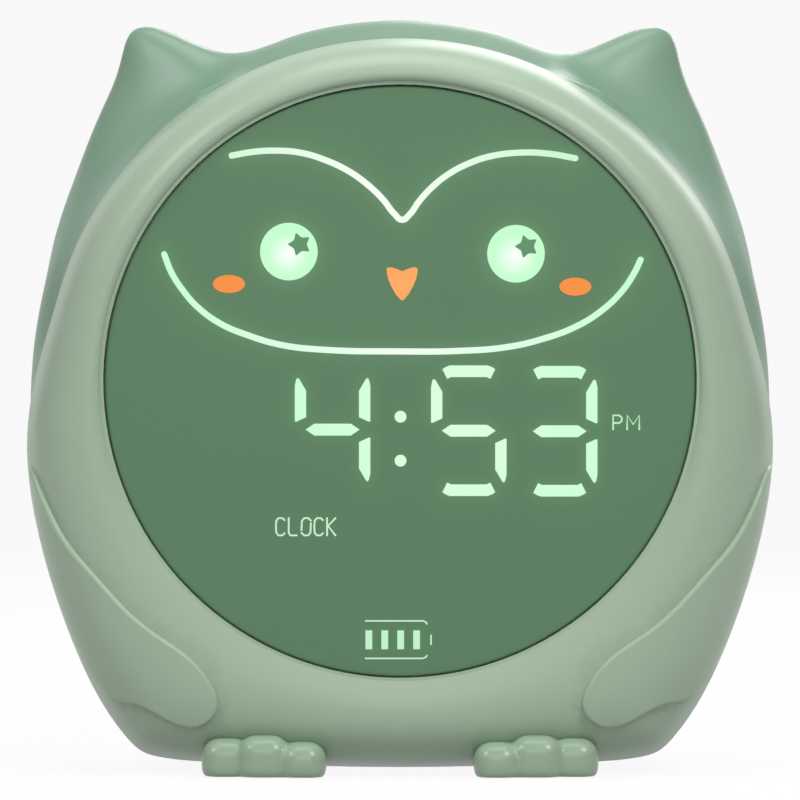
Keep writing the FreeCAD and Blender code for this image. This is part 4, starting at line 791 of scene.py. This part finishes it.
@dataclass
class DisplayWindow:
    """The round lens, with the light that spreads in it round every lit shape."""

    art: DisplayArt
    edge: float = 0.4
    rings: int = 96
    spokes: int = 240
    edge_turns: tuple[float, ...] = (30.0, 60.0, 90.0)
    weld: float = 1e-7
    farthest: float = 1e3
    shortest: float = 1e-9
    near_share: float = 0.13
    near_reach: float = 1.0
    far_share: float = 0.03
    far_reach: float = 4.5

    def build(self) -> None:
        """Turn the lens on its axis, then mark how brightly each place glows."""
        low, high = self.art.lens_low, self.art.lens_high
        radius = (high.x - low.x) / 2.0
        centre = self.art.centre
        edge = self.edge * MM
        bm = bmesh.new()
        profile = [Vector((centre.x, low.y, centre.z))]
        for ring in range(1, self.rings + 1):
            profile.append(Vector((centre.x + (radius - edge) * ring / self.rings, low.y, centre.z)))
        for step in self.edge_turns:
            turn = math.radians(step)
            profile.append(Vector((centre.x + radius - edge + edge * math.sin(turn),
                                   low.y + edge - edge * math.cos(turn), centre.z)))
        profile.append(Vector((centre.x + radius, high.y, centre.z)))
        profile.append(Vector((centre.x, high.y, centre.z)))
        verts = [bm.verts.new(point) for point in profile]
        edges = [bm.edges.new(pair) for pair in zip(verts[:-1], verts[1:])]
        bmesh.ops.spin(bm, geom=verts + edges, cent=centre, axis=(0.0, 1.0, 0.0), angle=2.0 * math.pi,
                       steps=self.spokes, use_merge=True)
        bmesh.ops.remove_doubles(bm, verts=bm.verts, dist=self.weld)
        material = DarkLens("tinted_lens", linear(95, 133, 99), linear(120, 190, 130)).material()
        piece = new_piece("display_window", bm, material)
        self.mark_halo(piece.data)
        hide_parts("display_lens")

    def mark_halo(self, mesh: bpy.types.Mesh) -> None:
        """Store at each vertex how much light bleeds there from the lit shapes."""
        places = np.empty(len(mesh.vertices) * 3)
        mesh.vertices.foreach_get("co", places)
        places = (places.reshape(-1, 3) - np.array(self.art.centre))[:, (0, 2)] / MM
        halo = np.zeros(len(places))
        for weight, outline in self.art.outlines:
            points = np.array(outline)
            nearest = np.full(len(places), self.farthest)
            for first, along in zip(points[:-1], np.diff(points, axis=0)):
                share = np.clip((places - first) @ along / max(along @ along, self.shortest), 0.0, 1.0)
                gap = np.linalg.norm(places - first - share[:, None] * along, axis=1)
                nearest = np.minimum(nearest, gap)
            bleed = self.near_share * np.exp(-nearest / self.near_reach)
            bleed += self.far_share * np.exp(-nearest / self.far_reach)
            halo = np.maximum(halo, weight * bleed)
        mesh.attributes.new(HALO, "FLOAT", "POINT").data.foreach_set("value", halo.astype(np.float32))


@dataclass(frozen=True)
class Lamp:
    """One square soft lamp aimed at the clock."""

    name: str
    place: tuple[float, float, float]
    size: float
    power: float

    def build(self, target: Vector) -> None:
        """Hang the lamp and aim it."""
        data = bpy.data.lights.new(self.name, "AREA")
        data.size = self.size
        data.energy = self.power
        lamp = bpy.data.objects.new(self.name, data)
        lamp.location = self.place
        lamp.rotation_euler = (target - Vector(self.place)).to_track_quat("-Z", "Y").to_euler()
        bpy.context.scene.collection.objects.link(lamp)


@dataclass
class Studio:
    """Pale floor, backdrop, soft lamps and the camera."""

    camera_distance: float = 1.02
    parting_y: float = -0.020
    camera_height: float = 0.070
    frame_width: float = 0.1504
    sensor: float = 36.0
    clip_start: float = 0.05
    floor_half: float = 3.0
    backdrop_height: float = 3.0
    floor_bend: float = 0.8
    bend_steps: int = 12
    paper_roughness: float = 0.9
    paper_glow: float = 0.92
    paper_seen: Colour = (0.95, 0.95, 0.95)
    paper_bounce: Colour = (0.36, 0.37, 0.36)
    fill: float = 0.32
    lamps: tuple[Lamp, ...] = (
        Lamp("key", (0.45, -0.65, 0.8), 0.35, 4.2), Lamp("fill_left", (-0.6, -0.5, 0.75), 0.35, 2.4),
        Lamp("front", (0.0, -1.2, 0.45), 0.6, 2.1), Lamp("top", (0.0, 0.0, 1.0), 0.6, 3.0),
        Lamp("back", (0.3, 0.9, 0.6), 0.6, 3.0))

    def build(self) -> None:
        """Place everything round the clock."""
        self.floor()
        self.world()
        for lamp in self.lamps:
            lamp.build(Vector((0.0, 0.0, self.camera_height)))
        self.camera()

    def floor(self) -> None:
        """A floor that curves up into a backdrop."""
        bm = bmesh.new()
        bmesh.ops.create_grid(bm, x_segments=1, y_segments=1, size=self.floor_half)
        far = [edge for edge in bm.edges if all(vert.co.y > 0.0 for vert in edge.verts)]
        risen = bmesh.ops.extrude_edge_only(bm, edges=far)
        moved = [item for item in risen["geom"] if isinstance(item, bmesh.types.BMVert)]
        bmesh.ops.translate(bm, vec=(0.0, 0.0, self.backdrop_height), verts=moved)
        bend = [edge for edge in bm.edges if len(edge.link_faces) == 2]
        bmesh.ops.bevel(bm, geom=bend, offset=self.floor_bend, segments=self.bend_steps, profile=0.5,
                        affect="EDGES", material=-1)
        for face in bm.faces:
            face.smooth = True
        mesh = bpy.data.meshes.new("studio_floor")
        bm.to_mesh(mesh)
        bm.free()
        floor = bpy.data.objects.new("studio_floor", mesh)
        bpy.context.scene.collection.objects.link(floor)
        material = self.paper()
        mesh.materials.append(material)

    def paper(self) -> bpy.types.Material:
        """White paper that shines to the camera and throws little light on the clock."""
        material = bpy.data.materials.new("studio_paper")
        material.use_nodes = True
        graph = Graph(material.node_tree)
        shader = material.node_tree.nodes["Principled BSDF"]
        shader.inputs["Roughness"].default_value = self.paper_roughness
        path = graph.add("ShaderNodeLightPath")
        seen = graph.math("MAXIMUM", path.outputs["Is Camera Ray"], path.outputs["Is Glossy Ray"])
        tone = graph.blend(path.outputs["Is Camera Ray"], (*self.paper_bounce, 1.0), (*self.paper_seen, 1.0))
        graph.link(tone, shader.inputs["Base Color"])
        glow = graph.add("ShaderNodeEmission")
        glow.inputs["Color"].default_value = (1.0, 1.0, 1.0, 1.0)
        mix = graph.add("ShaderNodeMixShader")
        graph.link(graph.math("MULTIPLY", seen, self.paper_glow), mix.inputs[0])
        graph.link(shader.outputs[0], mix.inputs[1])
        graph.link(glow.outputs[0], mix.inputs[2])
        graph.link(mix.outputs[0], material.node_tree.nodes["Material Output"].inputs["Surface"])
        return material

    def world(self) -> None:
        """White to the camera, a plain soft fill to the clock."""
        world = bpy.data.worlds.new("studio_world")
        bpy.context.scene.world = world
        world.use_nodes = True
        graph = Graph(world.node_tree)
        back = world.node_tree.nodes["Background"]
        path = graph.add("ShaderNodeLightPath")
        seen = graph.math("MULTIPLY", path.outputs["Is Camera Ray"], 1.0 - self.fill)
        back.inputs["Color"].default_value = (1.0, 1.0, 1.0, 1.0)
        graph.link(graph.math("ADD", seen, self.fill), back.inputs["Strength"])

    def camera(self) -> None:
        """Level camera straight in front, at half the clock's height."""
        data = bpy.data.cameras.new("camera")
        data.sensor_width = self.sensor
        data.lens = self.sensor * self.camera_distance / self.frame_width
        data.clip_start = self.clip_start
        camera = bpy.data.objects.new("camera", data)
        camera.location = (0.0, self.parting_y - self.camera_distance, self.camera_height)
        camera.rotation_euler = (math.radians(90.0), 0.0, 0.0)
        bpy.context.scene.collection.objects.link(camera)
        bpy.context.scene.camera = camera


def dress_nodes(frame: dict) -> None:
    """Give every piece of the frame its finish.

    Args:
        frame: The loaded frame.
    """
    for name, piece in frame["nodes"].items():
        finish = NODE_FINISHES.get(name, BUTTON_SAGE)
        piece.data.materials.clear()
        piece.data.materials.append(finish.material())
        LOG.info("%s: %s", name, finish.name)


@dataclass
class SoftFeet:
    """The toes run into each other in soft valleys, as one glossy moulding."""

    cell: float = 0.45
    factor: float = 0.5
    passes: int = 5

    def build(self, frame: dict) -> None:
        """Let both feet flow over their edges.

        Args:
            frame: The loaded frame.
        """
        for name in FEET:
            piece = frame["nodes"][name]
            skin = piece.modifiers.new("even_skin", "REMESH")
            skin.mode = "VOXEL"
            skin.voxel_size = self.cell * MM
            skin.use_smooth_shade = True
            flow = piece.modifiers.new("soft_valleys", "SMOOTH")
            flow.factor = self.factor
            flow.iterations = self.passes
            LOG.info("%s: softened over %d passes", name, self.passes)


def main() -> None:
    """Build the whole scene in order."""
    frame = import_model()
    bpy.context.scene.view_settings.view_transform = "Standard"
    Studio().build()
    dress_nodes(frame)
    SoftFeet().build(frame)
    low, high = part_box("display_lens")
    art = DisplayArt(low, high)
    art.build()
    DisplayWindow(art).build()


if __name__ == "__main__":
    main()
